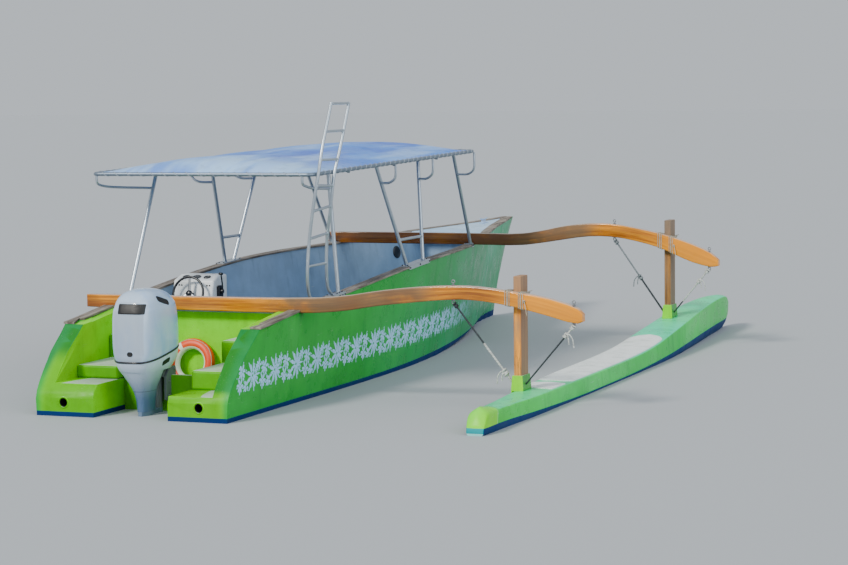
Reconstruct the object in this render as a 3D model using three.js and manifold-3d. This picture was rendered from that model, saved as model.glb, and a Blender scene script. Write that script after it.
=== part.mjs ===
// Outrigger canoe with an outboard engine and a shade canopy, afloat and level.
// Millimetres, +X to the bow, +Y to port, +Z up.
// The origin is on the centreline, at the aft faces of the stern sponsons, on the waterline.
import * as THREE from 'three';
import { mergeVertices } from 'three/addons/utils/BufferGeometryUtils.js';
import Module from 'manifold-3d';

const wasm = await Module();
wasm.setup();

// Driving dimensions
const GAP = 0.3;               // clearance left where one piece lies on another
const WALL = 60;               // side of the hull
const SOLE_Z = 120;            // top of the hull's cockpit floor
const LINER_T = 14;
const BULKHEAD = { x: 1600, thick: 45, top: 845 };
const COCKPIT_END_X = 8600;
const WELL_HALF = 385;         // half-width of the engine well
const TRANSOM = { x: 605, thick: 55, top: 345 };
const SPLASH_Z = 105;          // floor of the well ahead of the transom
const STEP_X = [0, 480, 1120]; // aft edges of the stern steps
const STEP_Z = { port: [300, 425, 650], starboard: [228, 408, 622] };
const STEP_HALF = 830;         // outer side of the steps
const DRAIN = { y: 700, z: 130, radius: 45, depth: 150 };
const CAP = { thick: 22, out: 12, in: 106, start: 632, end: 10690 };
const DECK_T = 16;
const FOREDECK = [8320, 10380]; // aft and fore ends of the light deck panel

const POST = { y: -3232, wide: 76, deep: 200 };
const BEAM_W = 95;             // both crossbeams, fore and aft
const CANOPY = { aft: 1530, fore: 6080, half: 1187, aftZ: 2195, foreZ: 2290, rise: 132, ramp: 420 };
const TUBE_R = 19;             // canopy edge tube and bows
const LEG_R = 20;
const LADDER_R = 16;

// Hull sections: place along the boat, half-width and height of the gunwale,
// half-width and height of the chine, height of the keel
const HULL = [
  [0, 1018, 740, 985, -20, -250],
  [800, 1034, 808, 995, -25, -275],
  [1600, 1058, 892, 1005, -30, -300],
  [2600, 1100, 968, 1020, -30, -325],
  [3600, 1124, 1050, 1020, -25, -340],
  [4600, 1120, 1112, 985, -15, -345],
  [5600, 1060, 1140, 895, 0, -345],
  [6600, 935, 1152, 755, 25, -340],
  [7600, 745, 1174, 560, 60, -325],
  [8500, 525, 1204, 355, 110, -295],
  [9300, 335, 1222, 175, 175, -245],
  [9850, 222, 1232, 70, 230, -170],
  [10060, 180, 1238, 16, 170, -20],
  [10235, 146, 1243, 12, 440, 405],
  [10560, 80, 1254, 9, 900, 880],
  [10885, 10, 1266, 7, 1256, 1250],
];

// Stern end of the bulwarks: place along the boat and height
const WING = [[-5, -400], [-5, 160], [25, 235], [80, 310], [150, 390], [230, 470], [330, 570], [440, 650],
  [530, 712], [640, 800], [900, 1200]];

// Crossbeams: place along the boat, then rows of the distance to starboard, top and bottom
const BEAMS = {
  aft: {
    x: 1518,
    rows: [
      [-1262, 1004, 876], [0, 1004, 868], [1050, 1012, 868], [1500, 1042, 898],
      [1850, 1096, 954], [2250, 1142, 1000], [2630, 1164, 1034], [2900, 1156, 1026],
      [3200, 1122, 984], [3500, 1078, 918], [3760, 1010, 848], [3840, 978, 838], [3895, 925, 858],
    ],
  },
  fore: {
    x: 6870,
    rows: [
      [-1000, 1300, 1168], [0, 1302, 1168], [900, 1302, 1168], [1450, 1302, 1166],
      [1780, 1350, 1204], [2020, 1400, 1242], [2320, 1432, 1282], [2620, 1427, 1278],
      [2920, 1378, 1226], [3200, 1316, 1148], [3500, 1222, 1018], [3740, 1120, 955], [3850, 1030, 965],
    ],
  },
};
const POST_TOP = { aft: 1258, fore: 1472 };
const SOCKET = { wall: 12, flare: 10, floor: 30, top: { aft: 330, fore: 502 } };
const STAY_R = 9;
const EYE = { shank: 8, ring: 15, wire: 5, drop: 26, nut: 15, inner: -2618, outer: { aft: -3800, fore: -3735 } };
const LASH = { band: 18, thick: 9 };

// Float sections: place along the boat, centre across it, half-width and height of the deck edge,
// height of the deck's middle, half-width and height of the chine, height of the keel
const AMA = [
  [-30, -3377, 80, 40, 52, 78, 10, -56],
  [0, -3376, 86, 102, 136, 84, 6, -64],
  [50, -3375, 92, 158, 212, 88, 2, -72],
  [110, -3374, 96, 178, 238, 92, 0, -80],
  [330, -3362, 100, 184, 208, 108, -10, -110],
  [700, -3354, 108, 184, 192, 130, -15, -130],
  [1300, -3352, 150, 182, 188, 158, -15, -150],
  [2100, -3326, 184, 178, 184, 196, -15, -168],
  [2900, -3310, 206, 176, 182, 222, -15, -175],
  [4500, -3308, 215, 180, 187, 234, -10, -185],
  [5300, -3308, 217, 205, 213, 236, -5, -183],
  [6000, -3306, 214, 262, 271, 232, 5, -175],
  [6700, -3302, 202, 320, 330, 208, 20, -162],
  [7600, -3290, 180, 385, 396, 172, 45, -140],
  [8500, -3280, 142, 420, 434, 128, 85, -95],
  [9200, -3274, 98, 402, 420, 84, 110, -30],
  [9560, -3270, 40, 310, 330, 34, 150, 60],
];
const PAD = { thick: 9, margin: 22, lift: 0.6, aft: [1790, 2240], main: [2390, 5880] };

// Engine, standing in the well on the centreline
const TILT = { x: 665, z: 400, tube: 16 };
const STEER_X = 540;
const PROP = { x: 105, z: -335, radius: 190 };
const CLAMP = { inner: 94, outer: 116, top: 424 };
const SWIVEL = { half: 88, tube: 48, low: 44, high: 430 };

// Upright engine sections: height, aft end, fore end, half-width
const COWL = [
  [531, -18, 698, 214], [620, -34, 704, 228], [800, -38, 702, 232], [960, -28, 692, 226],
  [1060, 4, 664, 210], [1125, 62, 608, 180], [1165, 140, 520, 130], [1184, 230, 420, 66],
];
const PAN = [[SWIVEL.high + GAP, 34, 590, 182], [470, 8, 630, 200], [531 - GAP, -18, 698, 214]];
const SHROUD = [[40, 188, 448, 58], [150, 180, 448, 66], [260, 140, 448, 92], [350, 92, 448, 138], [440, 44, 448, 176]];
const LEG = [[-370, 190, 405, 22], [-250, 196, 430, 30], [-120, 192, 446, 44], [40 - GAP, 188, 448, 58]];

// Helm: console profile from the side, and the wheel that it carries
const CONSOLE = { y: [430, 890], outline: [[2560, 0], [2560, 760], [2640, 1060], [2790, 1105], [2960, 1105], [2960, 0]] };
const WHEEL = { face: [2600, 910], y: 660, stand: 92, radius: 170, rim: 13, hub: 26 };

// A closed solid from a three.js geometry
function solid(geometry) {
  const bare = geometry.clone();
  bare.deleteAttribute('normal');
  bare.deleteAttribute('uv');
  const merged = mergeVertices(bare, 1e-3);
  return new wasm.Manifold(new wasm.Mesh({
    numProp: 3,
    vertProperties: Float32Array.from(merged.attributes.position.array),
    triVerts: Uint32Array.from(merged.index.array),
  }));
}

// The geometry of a solid
function geometryOf(body) {
  const mesh = body.getMesh();
  const geometry = new THREE.BufferGeometry();
  geometry.setAttribute('position', new THREE.BufferAttribute(Float32Array.from(mesh.vertProperties), 3));
  geometry.setIndex(Array.from(mesh.triVerts));
  return geometry;
}

function joined(bodies) {
  return bodies.reduce((sum, body) => sum.add(body));
}

// The biggest piece of a solid that a cut has left in several
function biggest(body) {
  return body.decompose().reduce((best, piece) => (piece.volume() > best.volume() ? piece : best));
}

// A box between two corners
function box(x0, x1, y0, y1, z0, z1) {
  const geometry = new THREE.BoxGeometry(x1 - x0, y1 - y0, z1 - z0);
  geometry.translate((x0 + x1) / 2, (y0 + y1) / 2, (z0 + z1) / 2);
  return solid(geometry);
}

// A box with its two sides across the boat given for either hand: side is 1 to port, -1 to starboard
function sideBox(x0, x1, side, near, far, z0, z1) {
  return box(x0, x1, Math.min(side * near, side * far), Math.max(side * near, side * far), z0, z1);
}

// A straight bar between two points
function rod(from, to, radius, sides = 10, endRadius = radius) {
  const start = new THREE.Vector3(...from);
  const end = new THREE.Vector3(...to);
  const along = end.clone().sub(start);
  const geometry = new THREE.CylinderGeometry(endRadius, radius, along.length(), sides);
  const turn = new THREE.Quaternion().setFromUnitVectors(new THREE.Vector3(0, 1, 0), along.normalize());
  geometry.applyQuaternion(turn);
  geometry.translate(...start.add(end).multiplyScalar(0.5).toArray());
  return solid(geometry);
}

// A ring round an axis
function ring(centre, radius, wire, axis, round = 16, sides = 8) {
  const geometry = new THREE.TorusGeometry(radius, wire, sides, round);
  const turn = new THREE.Quaternion().setFromUnitVectors(
    new THREE.Vector3(0, 0, 1), new THREE.Vector3(...axis).normalize());
  geometry.applyQuaternion(turn);
  geometry.translate(...centre);
  return solid(geometry);
}

// A bent tube along a smooth line through points
function tube(points, radius, steps, sides = 8) {
  const line = new THREE.CatmullRomCurve3(points.map((p) => new THREE.Vector3(...p)), false, 'centripetal');
  const outline = Array.from({ length: sides }, (_, i) => {
    const turn = (2 * Math.PI * i) / sides;
    return new THREE.Vector2(radius * Math.cos(turn), radius * Math.sin(turn));
  });
  return solid(new THREE.ExtrudeGeometry(new THREE.Shape(outline), { steps, extrudePath: line }));
}

// An outline in the plane of X and Z, extruded from y0 to y1
function sidePlate(outline, y0, y1) {
  const shape = new THREE.Shape(outline.map(([x, z]) => new THREE.Vector2(x, z)));
  const geometry = new THREE.ExtrudeGeometry(shape, { depth: y1 - y0, bevelEnabled: false });
  geometry.rotateX(Math.PI / 2);
  geometry.translate(0, y1, 0);
  return solid(geometry);
}

// Triangles that close a flat ring, wound as the ring is; across are the two axes that it spreads on
function capFaces(points, across) {
  const flat = points.map((p) => new THREE.Vector2(p[across[0]], p[across[1]]));
  const way = Math.sign(THREE.ShapeUtils.area(flat));
  return THREE.ShapeUtils.triangulateShape(flat, []).map((face) => {
    const turn = THREE.ShapeUtils.area(face.map((i) => flat[i]));
    return Math.sign(turn) === way ? face : face.slice().reverse();
  });
}

// A closed skin through rings of points that all have the same count;
// across are the two axes in which each ring lies flat
function loft(rings, across = [1, 2]) {
  const count = rings[0].length;
  const points = rings.flat();
  const faces = [];
  for (let i = 0; i + 1 < rings.length; i += 1) {
    for (let j = 0; j < count; j += 1) {
      const a = i * count + j;
      const b = i * count + ((j + 1) % count);
      faces.push([a, b, b + count], [a, b + count, a + count]);
    }
  }
  const top = (rings.length - 1) * count;
  capFaces(rings[0], across).forEach((face) => faces.push(face.slice().reverse()));
  capFaces(rings[rings.length - 1], across).forEach((face) => faces.push(face.map((i) => i + top)));
  const volume = faces.reduce((sum, face) => {
    const [a, b, c] = face.map((i) => new THREE.Vector3(...points[i]));
    return sum + a.dot(b.cross(c));
  }, 0);
  const wound = volume > 0 ? faces : faces.map((face) => face.slice().reverse());
  const geometry = new THREE.BufferGeometry();
  geometry.setAttribute('position', new THREE.Float32BufferAttribute(points.flat(), 3));
  geometry.setIndex(wound.flat());
  return solid(geometry);
}

// A row of a table at any place, on a smooth curve through its rows
function smoothRow(table, x) {
  const last = table.length - 1;
  let i = 0;
  while (i < last - 1 && x > table[i + 1][0]) i += 1;
  const [x1, x2] = [table[i][0], table[i + 1][0]];
  const t = (x - x1) / (x2 - x1);
  const before = table[Math.max(0, i - 1)];
  const after = table[Math.min(last, i + 2)];
  return table[i].map((value, k) => {
    const next = table[i + 1][k];
    const slope1 = (next - before[k]) / (x2 - before[0]) * (x2 - x1);
    const slope2 = (after[k] - value) / (after[0] - x1) * (x2 - x1);
    const t2 = t * t;
    const t3 = t2 * t;
    return value * (2 * t3 - 3 * t2 + 1) + slope1 * (t3 - 2 * t2 + t)
      + next * (3 * t2 - 2 * t3) + slope2 * (t3 - t2);
  });
}

// A table with each stretch between its rows cut into equal parts
function refined(table, cuts) {
  const rows = [];
  for (let i = 0; i + 1 < table.length; i += 1) {
    for (let k = 0; k < cuts; k += 1) {
      rows.push(smoothRow(table, table[i][0] + (table[i + 1][0] - table[i][0]) * k / cuts));
    }
  }
  rows.push(table[table.length - 1]);
  return rows;
}

// A row of a table at any place, on the straight stretches between its rows
function rowAt(rows, x) {
  let i = 0;
  while (i < rows.length - 2 && x > rows[i + 1][0]) i += 1;
  const t = (x - rows[i][0]) / (rows[i + 1][0] - rows[i][0]);
  return rows[i].map((value, k) => value + (rows[i + 1][k] - value) * t);
}

// The rows of a table from one place to another, both ends included
function stretch(rows, from, to) {
  const inside = rows.filter(([x]) => x > from + 1 && x < to - 1);
  return [rowAt(rows, from), ...inside, rowAt(rows, to)];
}

const parts = [];
function add(name, body, color, roughness = 0.5, metalness = 0) {
  parts.push({ name, body, color, roughness, metalness });
}
const SIDES = [['port', 1], ['starboard', -1]];

const GREEN = 0x3fa34d;
const LIME = 0x8ddb1c;
const MINT = 0x63c98a;
const WOOD = 0xc9761c;
const GREY_WOOD = 0x8d857b;
const POST_WOOD = 0xb98a55;
const WHITE = 0xe8ebee;
const STEEL = 0xb9bec2;
const LINER = 0x7d93a5;
const BLUE_CLOTH = 0xa9c4e4;
const ROPE = 0xd8d2c2;
const DARK = 0x2b3036;
const ORANGE = 0xe8552b;

// Hull
const HULL_ROWS = refined(HULL, 2);

function hullOuter() {
  return loft(HULL_ROWS.map(([x, gunwale, top, chine, chineZ, keel]) => [
    [x, gunwale, top], [x, chine, chineZ], [x, 0, keel], [x, -chine, chineZ], [x, -gunwale, top],
  ]));
}

// Half-width of the hull's outer side at a height, from a row of the hull's table
function sideAt([, gunwale, top, chine, chineZ], z) {
  return chine + (gunwale - chine) * (z - chineZ) / (top - chineZ);
}

// Cockpit's hollow: place, half-width at the floor, half-width and height well above the gunwale
const COCKPIT_ROWS = HULL_ROWS.filter(([x]) => x > 700 && x < 9400).map((row) => {
  const high = row[2] + 200;
  return [row[0], sideAt(row, SOLE_Z) - WALL, sideAt(row, high) - WALL, high];
});

// The cockpit's hollow, pulled in by an inset at the sides and floor, and open above
function cockpit(from, to, inset) {
  return loft(COCKPIT_ROWS.map(([x, lowHalf, highHalf, high]) => {
    const [low, lowY, highY] = [SOLE_Z + inset, lowHalf - inset, highHalf - inset];
    return [[x, highY, high], [x, lowY, low], [x, -lowY, low], [x, -highY, high]];
  })).intersect(box(from, to, -1500, 1500, 0, 2000));
}

// Crossbeams
function beamLine(beam, column, grow) {
  const points = beam.rows.map((row) => new THREE.Vector2(-row[0], row[column] + grow));
  return new THREE.SplineCurve(points).getPoints(beam.rows.length * 2);
}

// A crossbeam's outline across the boat, extruded fore and aft; lift raises its top
function beamBody(beam, grow = 0, lift = 0) {
  const outline = [...beamLine(beam, 1, grow + lift), ...beamLine(beam, 2, -grow).reverse()];
  const depth = BEAM_W + 2 * grow;
  const geometry = new THREE.ExtrudeGeometry(new THREE.Shape(outline), { depth, bevelEnabled: false });
  geometry.rotateX(Math.PI / 2);
  geometry.rotateZ(Math.PI / 2);
  geometry.translate(beam.x - depth / 2, 0, 0);
  return solid(geometry);
}

// Top and bottom of a crossbeam at a distance across the boat
function beamAt(beam, y) {
  const [, top, bottom] = rowAt(beam.rows, -y);
  return { top, bottom };
}

const notches = joined(Object.values(BEAMS).map((beam) => beamBody(beam, GAP, 400)));
const outer = hullOuter();
const liningStart = BULKHEAD.x + BULKHEAD.thick + 2 * GAP;

function hullBody() {
  const far = 1500;
  const transomFore = TRANSOM.x + TRANSOM.thick;
  return outer.subtract(joined([
    sidePlate([...WING, [-200, 1200], [-200, -400]], -far, far),
    box(-100, transomFore, -WELL_HALF, WELL_HALF, -600, far),
    ...SIDES.map(([hand, side]) => (
      sideBox(-100, BULKHEAD.x + 1, side, 0, STEP_HALF, STEP_Z[hand][0], far))),
    box(TRANSOM.x, BULKHEAD.x + 1, -WELL_HALF, WELL_HALF, SPLASH_Z, far),
    cockpit(BULKHEAD.x, COCKPIT_END_X, 0),
    ...SIDES.map(([, side]) => rod(
      [-50, side * DRAIN.y, DRAIN.z], [DRAIN.depth, side * DRAIN.y, DRAIN.z], DRAIN.radius, 16)),
  ])).subtract(notches);
}

add('hull_shell', hullBody(), GREEN, 0.4);

const liner = cockpit(liningStart, COCKPIT_END_X - GAP, GAP)
  .subtract(cockpit(liningStart + LINER_T, COCKPIT_END_X - LINER_T, LINER_T));
add('cockpit_liner', liner.intersect(outer.translate([0, 0, -GAP])).subtract(notches), LINER, 0.5);

const board = box(
  TRANSOM.x, TRANSOM.x + TRANSOM.thick - GAP, -WELL_HALF + GAP, WELL_HALF - GAP, -400, TRANSOM.top);
add('transom_board', outer.intersect(board), LIME, 0.45);

const bulkhead = cockpit(BULKHEAD.x + GAP, BULKHEAD.x + BULKHEAD.thick, GAP)
  .intersect(box(0, 3000, -1200, 1200, 0, BULKHEAD.top));
add('transom_bulkhead', bulkhead.subtract(notches), LIME, 0.45);

for (const [hand, side] of SIDES) {
  const far = STEP_HALF - GAP;
  const end = BULKHEAD.x;
  const [floor, middle, high] = STEP_Z[hand];
  add(`stern_steps_${hand}`, joined([
    sideBox(STEP_X[1], end, side, WELL_HALF, far, floor, middle),
    sideBox(STEP_X[2], end, side, WELL_HALF, far, floor, high),
  ]), LIME, 0.45);
}

// Strip of wood on a gunwale: from and to along the boat, heights above the hull's top,
// and how far it reaches out and in from the gunwale's edge
function onGunwale(side, from, to, low, high, out, into) {
  return loft(stretch(HULL_ROWS, from, to).map(([x, gunwale, top]) => {
    const far = side * (gunwale + out);
    const near = side * Math.max(gunwale - into, 4);
    return [[x, far, top + low], [x, near, top + low], [x, near, top + high], [x, far, top + high]];
  }));
}

const capPoint = box(0, CAP.start + 200, -2000, 2000, 0, 2000);
for (const [hand, side] of SIDES) {
  const cap = onGunwale(side, CAP.start, CAP.end, GAP, CAP.thick, CAP.out, CAP.in);
  const [, gunwale, top] = rowAt(HULL_ROWS, CAP.start);
  const taper = rod(
    [CAP.start - 60, side * (gunwale - 190), top], [CAP.start + 330, side * (gunwale - 60), top + 30], 70, 4);
  const lengths = cap.subtract(taper.intersect(capPoint)).subtract(notches).decompose()
    .sort((one, other) => other.volume() - one.volume());
  add(`gunwale_cap_${hand}`, lengths[0], GREY_WOOD, 0.8);
  add(`gunwale_cap_stern_${hand}`, lengths[1], GREY_WOOD, 0.8);
}

const deck = loft(stretch(HULL_ROWS, ...FOREDECK).map(([x, gunwale, top]) => {
  const half = gunwale - CAP.in - 1;
  return [[x, half, top + GAP], [x, -half, top + GAP], [x, -half, top + DECK_T], [x, half, top + DECK_T]];
}));
add('foredeck', deck, BLUE_CLOTH, 0.5);

// Seats across the cockpit: place, height, length fore and aft
for (const [name, x, z, length] of [['bench_aft', 4700, 540, 380], ['bench_fore', 7250, 560, 340]]) {
  const plank = cockpit(x, x + length, LINER_T + GAP).intersect(box(x, x + length, -1500, 1500, z - 45, z));
  const trunk = box(x + 60, x + length - 60, -260, 260, SOLE_Z + LINER_T, z - 40);
  add(name, plank.add(trunk), LINER, 0.5);
}

// Helm
const floorZ = SOLE_Z + LINER_T;
const profile = CONSOLE.outline.map(([x, z]) => [x, Math.max(z, floorZ)]);
add('helm_console', sidePlate(profile, ...CONSOLE.y), WHITE, 0.4);
const [lowPoint, highPoint] = [CONSOLE.outline[1], CONSOLE.outline[2]];
const slope = new THREE.Vector2(highPoint[0] - lowPoint[0], highPoint[1] - lowPoint[1]).normalize();
const WHEEL_AXIS = [-slope.y, 0, slope.x];
const wheelAt = (out, up = 0) => [
  WHEEL.face[0] + WHEEL_AXIS[0] * out + slope.x * up, WHEEL.y, WHEEL.face[1] + WHEEL_AXIS[2] * out + slope.y * up];
const spokes = [90, 210, 330].map((degrees) => {
  const turn = THREE.MathUtils.degToRad(degrees);
  const end = wheelAt(WHEEL.stand, WHEEL.radius * Math.sin(turn));
  end[1] += WHEEL.radius * Math.cos(turn);
  return rod(wheelAt(WHEEL.stand), end, 9, 8);
});
add('helm_wheel', joined([
  ring(wheelAt(WHEEL.stand), WHEEL.radius, WHEEL.rim, WHEEL_AXIS, 24),
  rod(wheelAt(GAP), wheelAt(WHEEL.stand + 14), WHEEL.hub, 12),
  ...spokes,
]), DARK, 0.5);

// Canopy
function edgeZ(x) {
  return CANOPY.aftZ + (CANOPY.foreZ - CANOPY.aftZ) * (x - CANOPY.aft) / (CANOPY.fore - CANOPY.aft);
}

// Height of the cloth's underside
function crownZ(x, y) {
  const near = Math.min(x - CANOPY.aft, CANOPY.fore - x);
  const ramp = Math.sin(Math.PI / 2 * Math.min(1, Math.max(0, near) / CANOPY.ramp));
  return edgeZ(x) + CANOPY.rise * ramp * (1 - Math.abs(y / CANOPY.half) ** 2.4);
}

const BOWS = [2450, 3670, 4920];
const CROSS = Array.from({ length: 15 }, (_, i) => CANOPY.half * (i - 7) / 7);

// A bow across the canopy: rings in planes along the boat, flat on top for the cloth
function bowBody(x, grow) {
  const radius = TUBE_R + grow;
  return loft(CROSS.map((y) => {
    const middle = crownZ(x, y) - TUBE_R * Math.cos(Math.PI / 8) - GAP;
    return Array.from({ length: 8 }, (_, i) => {
      const turn = (2 * Math.PI * (i + 0.5)) / 8;
      return [x + radius * Math.cos(turn), y, middle + radius * Math.sin(turn)];
    });
  }), [0, 2]);
}

// The edge tube: a straight run on each side of the canopy, mitred at the corners
function edgeRun(from, to, outward, before, after, grow) {
  const sides = 12;
  const radius = TUBE_R + grow;
  const along = new THREE.Vector3(...to).sub(new THREE.Vector3(...from)).normalize();
  const up = new THREE.Vector3().crossVectors(along, outward).normalize();
  const end = (point, mitre) => Array.from({ length: sides }, (_, i) => {
    const turn = (2 * Math.PI * (i + 0.5)) / sides;
    const [out, rise] = [radius * Math.cos(turn), radius * Math.sin(turn)];
    return new THREE.Vector3(...point).addScaledVector(outward, out).addScaledVector(up, rise)
      .addScaledVector(along, out * mitre).toArray();
  });
  return [end(from, before), end(to, after)];
}

function canopyFrame(grow = 0) {
  const corners = [[CANOPY.aft, 1], [CANOPY.aft, -1], [CANOPY.fore, -1], [CANOPY.fore, 1]]
    .map(([x, side]) => [x, side * CANOPY.half, edgeZ(x)]);
  const outwards = [[-1, 0, 0], [0, -1, 0], [1, 0, 0], [0, 1, 0]].map((p) => new THREE.Vector3(...p));
  const edges = corners.map((corner, i) => loft(
    edgeRun(corner, corners[(i + 1) % 4], outwards[i], -1, 1, grow), i % 2 ? [1, 2] : [0, 2]));
  return joined([...edges, ...BOWS.map((x) => bowBody(x, grow))]);
}

add('canopy_frame', canopyFrame(), STEEL, 0.35, 0.8);

const CLOTH = { inset: 26, thick: 7 };
const clothRows = [0, 0.03, 0.06, 0.1, 0.2, 0.35, 0.5, 0.65, 0.8, 0.9, 0.94, 0.97, 1];
const clothX = clothRows.map((t) => {
  const [aft, fore] = [CANOPY.aft + CLOTH.inset, CANOPY.fore - CLOTH.inset];
  return aft + (fore - aft) * t;
});
for (const x of BOWS) clothX.push(x - 24, x + 24);
clothX.sort((a, b) => a - b);
const clothY = CROSS.map((y) => y * (CANOPY.half - CLOTH.inset) / CANOPY.half);
const cloth = loft(clothX.map((x) => [
  ...clothY.map((y) => [x, y, crownZ(x, y)]),
  ...clothY.map((y) => [x, y, crownZ(x, y) + CLOTH.thick]).reverse(),
]));
add('canopy_cloth', cloth.subtract(canopyFrame(GAP)), BLUE_CLOTH, 0.8);

// Legs of the canopy: name, then each leg's foot and top along the boat, its plate on the gunwale,
// and the height of the rung that joins two legs
const capTop = (x) => rowAt(HULL_ROWS, x)[2] + CAP.thick;
const capMiddle = (x) => rowAt(HULL_ROWS, x)[1] + (CAP.out - CAP.in) / 2;
const LEG_TOP_Y = 950;
const FORE_FOOT = { from: 6000, out: 30 }; // feet beyond this place stand further out by so much
const LEGS = [
  ['canopy_leg_aft_port', 1, [[1930, 2450]], 120, 0],
  ['canopy_leg_aft_starboard', -1, [[2445, 2450]], 100, 0],
  ['canopy_frame_mid_port', 1, [[4240, 3670], [4450, 4920]], 430, 1400],
  ['canopy_frame_mid_starboard', -1, [[4240, 3670], [4745, 4920]], 650, 1400],
  ['canopy_leg_fore_port', 1, [[6765, 6040]], 90, 0],
  ['canopy_leg_fore_starboard', -1, [[6765, 6040]], 90, 0],
];
// Brackets: height at the leg, how far out the aft ones meet the edge tube, and sweep of the others
const BRACKET = { z: 2020, aftY: { 1: 1150, [-1]: 1080 }, sweep: 110 };
const PLATE_T = 10;

// Bent tube from a leg to the canopy's edge: to its aft tube from the aft legs, else to its side tube
function bracketRoute(start, side) {
  if (start[0] < 2600) {
    const y = side * BRACKET.aftY[side];
    return [start, [CANOPY.aft + 130, y, BRACKET.z + 52], [CANOPY.aft + 12, y, BRACKET.z + 90],
      [CANOPY.aft, y, CANOPY.aftZ]];
  }
  const x = start[0] - BRACKET.sweep;
  return [start, [x + 16, side * (CANOPY.half - 70), BRACKET.z + 12],
    [x, side * (CANOPY.half - 8), BRACKET.z + 60], [x, side * CANOPY.half, edgeZ(x)]];
}

function legBody(side, feet, plate, rungZ) {
  const middle = feet.reduce((sum, [foot]) => sum + foot, 0) / feet.length;
  const base = onGunwale(side, middle - plate / 2, middle + plate / 2,
    CAP.thick + GAP, CAP.thick + PLATE_T, CAP.out - 10, CAP.in - 10);
  const ends = feet.map(([foot, top]) => [
    [foot, side * (capMiddle(foot) + (foot > FORE_FOOT.from ? FORE_FOOT.out : 0)),
      capTop(foot) + PLATE_T / 2],
    [top, side * LEG_TOP_Y, crownZ(top, LEG_TOP_Y) - TUBE_R],
  ]);
  const at = ([low, high], z) => {
    const t = (z - low[2]) / (high[2] - low[2]);
    return low.map((value, k) => value + (high[k] - value) * t);
  };
  const bodies = [base, ...ends.map(([low, high]) => rod(low, high, LEG_R))];
  if (rungZ) bodies.push(rod(at(ends[0], rungZ), at(ends[1], rungZ), 16));
  for (const end of ends) {
    bodies.push(tube(bracketRoute(at(end, BRACKET.z), side), 13, 12));
  }
  const below = onGunwale(side, middle - 500, middle + 500, -200, CAP.thick + GAP, 200, 400);
  return joined(bodies).subtract(below).subtract(canopyFrame(GAP));
}

for (const [name, side, feet, plate, rungZ] of LEGS) {
  add(name, biggest(legBody(side, feet, plate, rungZ)), STEEL, 0.35, 0.8);
}

// Ladder on the starboard side, outside the canopy's edge: stile routes and rungs
const STILES = [
  [[1850, -1030, 0], [1690, -1062, 1040], [1610, -1085, 1200], [1600, -1115, 1560],
    [1560, -1200, 2000], [1575, -1232, 2200], [1630, -1248, 2430], [1860, -1250, 2870]],
  [[2300, -1040, 0], [2150, -1062, 1060], [2075, -1085, 1200], [2030, -1115, 1560],
    [1940, -1195, 1850], [1955, -1232, 2180], [2070, -1248, 2430], [2300, -1250, 2870]],
];
const RUNGS = [1320, 1590, 1860, 2090, 2330, 2600, 2850];

function stileAt(route, z) {
  const curve = new THREE.CatmullRomCurve3(route.map((p) => new THREE.Vector3(...p)), false, 'centripetal');
  const points = curve.getPoints(400);
  return points.reduce((best, p) => (Math.abs(p.z - z) < Math.abs(best.z - z) ? p : best)).toArray();
}

const stiles = STILES.map((route) => {
  const foot = route[0];
  return [[foot[0], foot[1], capTop(foot[0]) + PLATE_T / 2], ...route.slice(1)];
});
const feet = stiles.map(([[x]]) => onGunwale(-1, x - 80, x + 80, CAP.thick + GAP, CAP.thick + PLATE_T, 2, 96));
add('boarding_ladder', joined([
  ...stiles.map((route) => tube(route, LADDER_R, 26)),
  ...RUNGS.map((z) => rod(stileAt(stiles[0], z), stileAt(stiles[1], z), 13, 8)),
  ...feet,
]).subtract(canopyFrame(GAP)).subtract(onGunwale(-1, 1600, 2500, -200, CAP.thick + GAP, 200, 400)), STEEL, 0.35, 0.8);

// Life ring, leaning on the bulkhead
const leanRing = ring([0, 0, 0], 190, 55, [Math.cos(0.21), 0, -Math.sin(0.21)], 24, 12);
const ringBox = leanRing.boundingBox();
add('life_ring', leanRing.translate([
  BULKHEAD.x - ringBox.max[0], 120, SPLASH_Z + GAP - ringBox.min[2],
]), ORANGE, 0.6);

// Float, sockets, posts, beams, lashings and stays
const AMA_ROWS = refined(AMA, 2);

function amaBody(grow = 0) {
  return loft(AMA_ROWS.map(([x, centre, edge, edgeTop, middle, chine, chineZ, keel]) => [
    [x, centre, middle + grow], [x, centre + edge, edgeTop + grow], [x, centre + chine, chineZ],
    [x, centre, keel], [x, centre - chine, chineZ], [x, centre - edge, edgeTop + grow],
  ]));
}

add('ama_hull', amaBody(), MINT, 0.4);

// A thin pad on the float's deck, with round ends of a given length
function padBody([from, to], round) {
  const rows = stretch(AMA_ROWS, from, to);
  const steps = [0.02, 0.1, 0.25, 0.5, 0.75, 1];
  const extra = steps.map((t) => rowAt(AMA_ROWS, to - round * (1 - t)));
  const kept = rows.filter(([x]) => x < to - round);
  return loft([...kept, ...extra].map(([x, centre, edge, edgeTop, middle]) => {
    const t = Math.max(0, (x - (to - round)) / round);
    const half = (edge - PAD.margin) * Math.sqrt(Math.max(0.03, 1 - t * t));
    const side = middle + (edgeTop - middle) * half / edge;
    const [low, high] = [-20, PAD.thick];
    return [
      [x, centre - half, side + low], [x, centre, middle + low], [x, centre + half, side + low],
      [x, centre + half, side + high], [x, centre, middle + high], [x, centre - half, side + high],
    ];
  })).subtract(amaBody(PAD.lift));
}
add('ama_pad_aft', padBody(PAD.aft, 20), WHITE, 0.7);
add('ama_pad_main', padBody(PAD.main, 230), WHITE, 0.7);

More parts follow.
